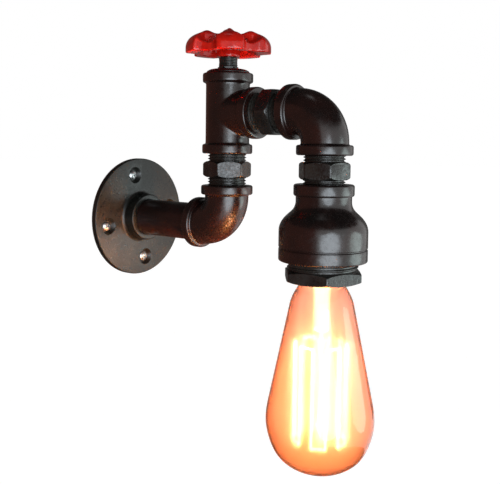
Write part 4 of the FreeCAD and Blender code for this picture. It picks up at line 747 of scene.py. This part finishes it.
# The amber stain inside it: faintly matt, so that the filament glows through it.
amber_stain = tinted_glass("amber_stain", "#f2ccc0", "#f9c49c", "#c07c5c", 0.31)
BULB_RADIUS, BULB_END, BULB_CROWN = 32.05, 140.1, 130
NECK_RADIUS, NECK_LOW, GLASS_WALL = 12.5, 25.0, 1
skin = [(NECK_RADIUS, NECK_LOW, 0), (NECK_RADIUS, 27.5, 1.5), (18.07, 36.8, 4.0),
        (BULB_RADIUS, 104.9, 4.5), (BULB_RADIUS, 120.2, 10.5), (18.8, BULB_END, 13.2),
        (0, BULB_END, 0)]
lining = [(0, BULB_END - GLASS_WALL, 0), (18.3, BULB_END - GLASS_WALL, 12.8),
          (BULB_RADIUS - GLASS_WALL, 119.8, 10.2), (BULB_RADIUS - GLASS_WALL, 105.1, 4.5),
          (17.1, 37.1, 4.0), (NECK_RADIUS - GLASS_WALL, 27.8, 1.5),
          (NECK_RADIUS - GLASS_WALL, NECK_LOW, 0)]
glass = turned(bmesh.new(), skin + lining, steps=128, segments=10)
closed(glass)
for face in glass.faces:
    middle = face.calc_center_median()
    outward = Vector((middle.x, middle.y, 0)) if middle.z < BULB_CROWN else Vector((0, 0, 1))
    face.material_index = int(face.normal.dot(outward) < 0 and middle.z > NECK_LOW + 0.1)
envelope = piece("amber_envelope", glass, at(LAMP_Y, BULB_TIP, "down"), amber, "bulb",
                 "amber_glass", "bulb_glass")
envelope.data.materials.append(amber_stain)
envelope.visible_shadow = False

# The stem and the filament.
# A glass stem carries two lead wires and two rings of supports, and a long carbon-style filament
# runs up and down between them.
STEM_GLOW, FILAMENT_GLOW = 2.2, 95
# Lead glass: clear, with a painted warm white glow that stands for the light of the filament.
clear, tree = empty_material("stem_glass")
where = node(tree, "TexCoord").outputs["Object"]
seed = node(tree, "TexNoise", {"Vector": where, "Scale": 1000 / 6, "Detail": 1})
relief = node(tree, "Bump", {"Height": seed.outputs["Fac"], "Distance": 0.0002})
shader = node(tree, "BsdfPrincipled",
              {"Base Color": linear("#fff2dc"), "Roughness": 0.03, "IOR": 1.5,
               "Transmission Weight": 1, "Normal": relief.outputs[0],
               "Emission Color": linear("#ffe2a6"), "Emission Strength": STEM_GLOW})
node(tree, "OutputMaterial", {"Surface": shader.outputs[0]})
carried(clear, "filament_stem")
# Nickel wire, reddened by the heat.
wire = bright_metal("nickel_wire", "#b98a5a", "#7a5230", 2, (0.3, 0.45))
carried(wire, "lead_wires", "filament_supports")
# Glowing carbon thread: white-hot, a little yellower in places.
glowing, tree = empty_material("glowing_thread")
where = node(tree, "TexCoord").outputs["Object"]
heat = node(tree, "TexNoise", {"Vector": where, "Scale": 1000 / 20})
tint = node(tree, "Mix", {0: heat.outputs["Fac"], 6: linear("#fff4d0"), 7: linear("#ffe6a8")},
            data_type="RGBA")
shader = node(tree, "BsdfPrincipled",
              {"Base Color": linear("#3a2a20"), "Roughness": 0.6, "Emission Color": tint.outputs[2],
               "Emission Strength": FILAMENT_GLOW})
node(tree, "OutputMaterial", {"Surface": shader.outputs[0]})
carried(glowing, "filament")

# The bulb's own light, which rides on it.
SPARK_WATTS, SPARK_RADIUS, SPARK_HEIGHT = 3.6, 0.018, -0.092
spark = bpy.data.lights.new("bulb_light", "POINT")
spark.energy, spark.color = SPARK_WATTS, linear("#ff9a50")[:3]
spark.shadow_soft_size = SPARK_RADIUS
spark_at = bpy.data.objects.new("bulb_light", spark)
scene.collection.objects.link(spark_at)
spark_at.location = (0, LAMP_Y / 1000, SPARK_HEIGHT)
spark_at.visible_camera = spark_at.visible_transmission = False
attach(spark_at, "bulb")
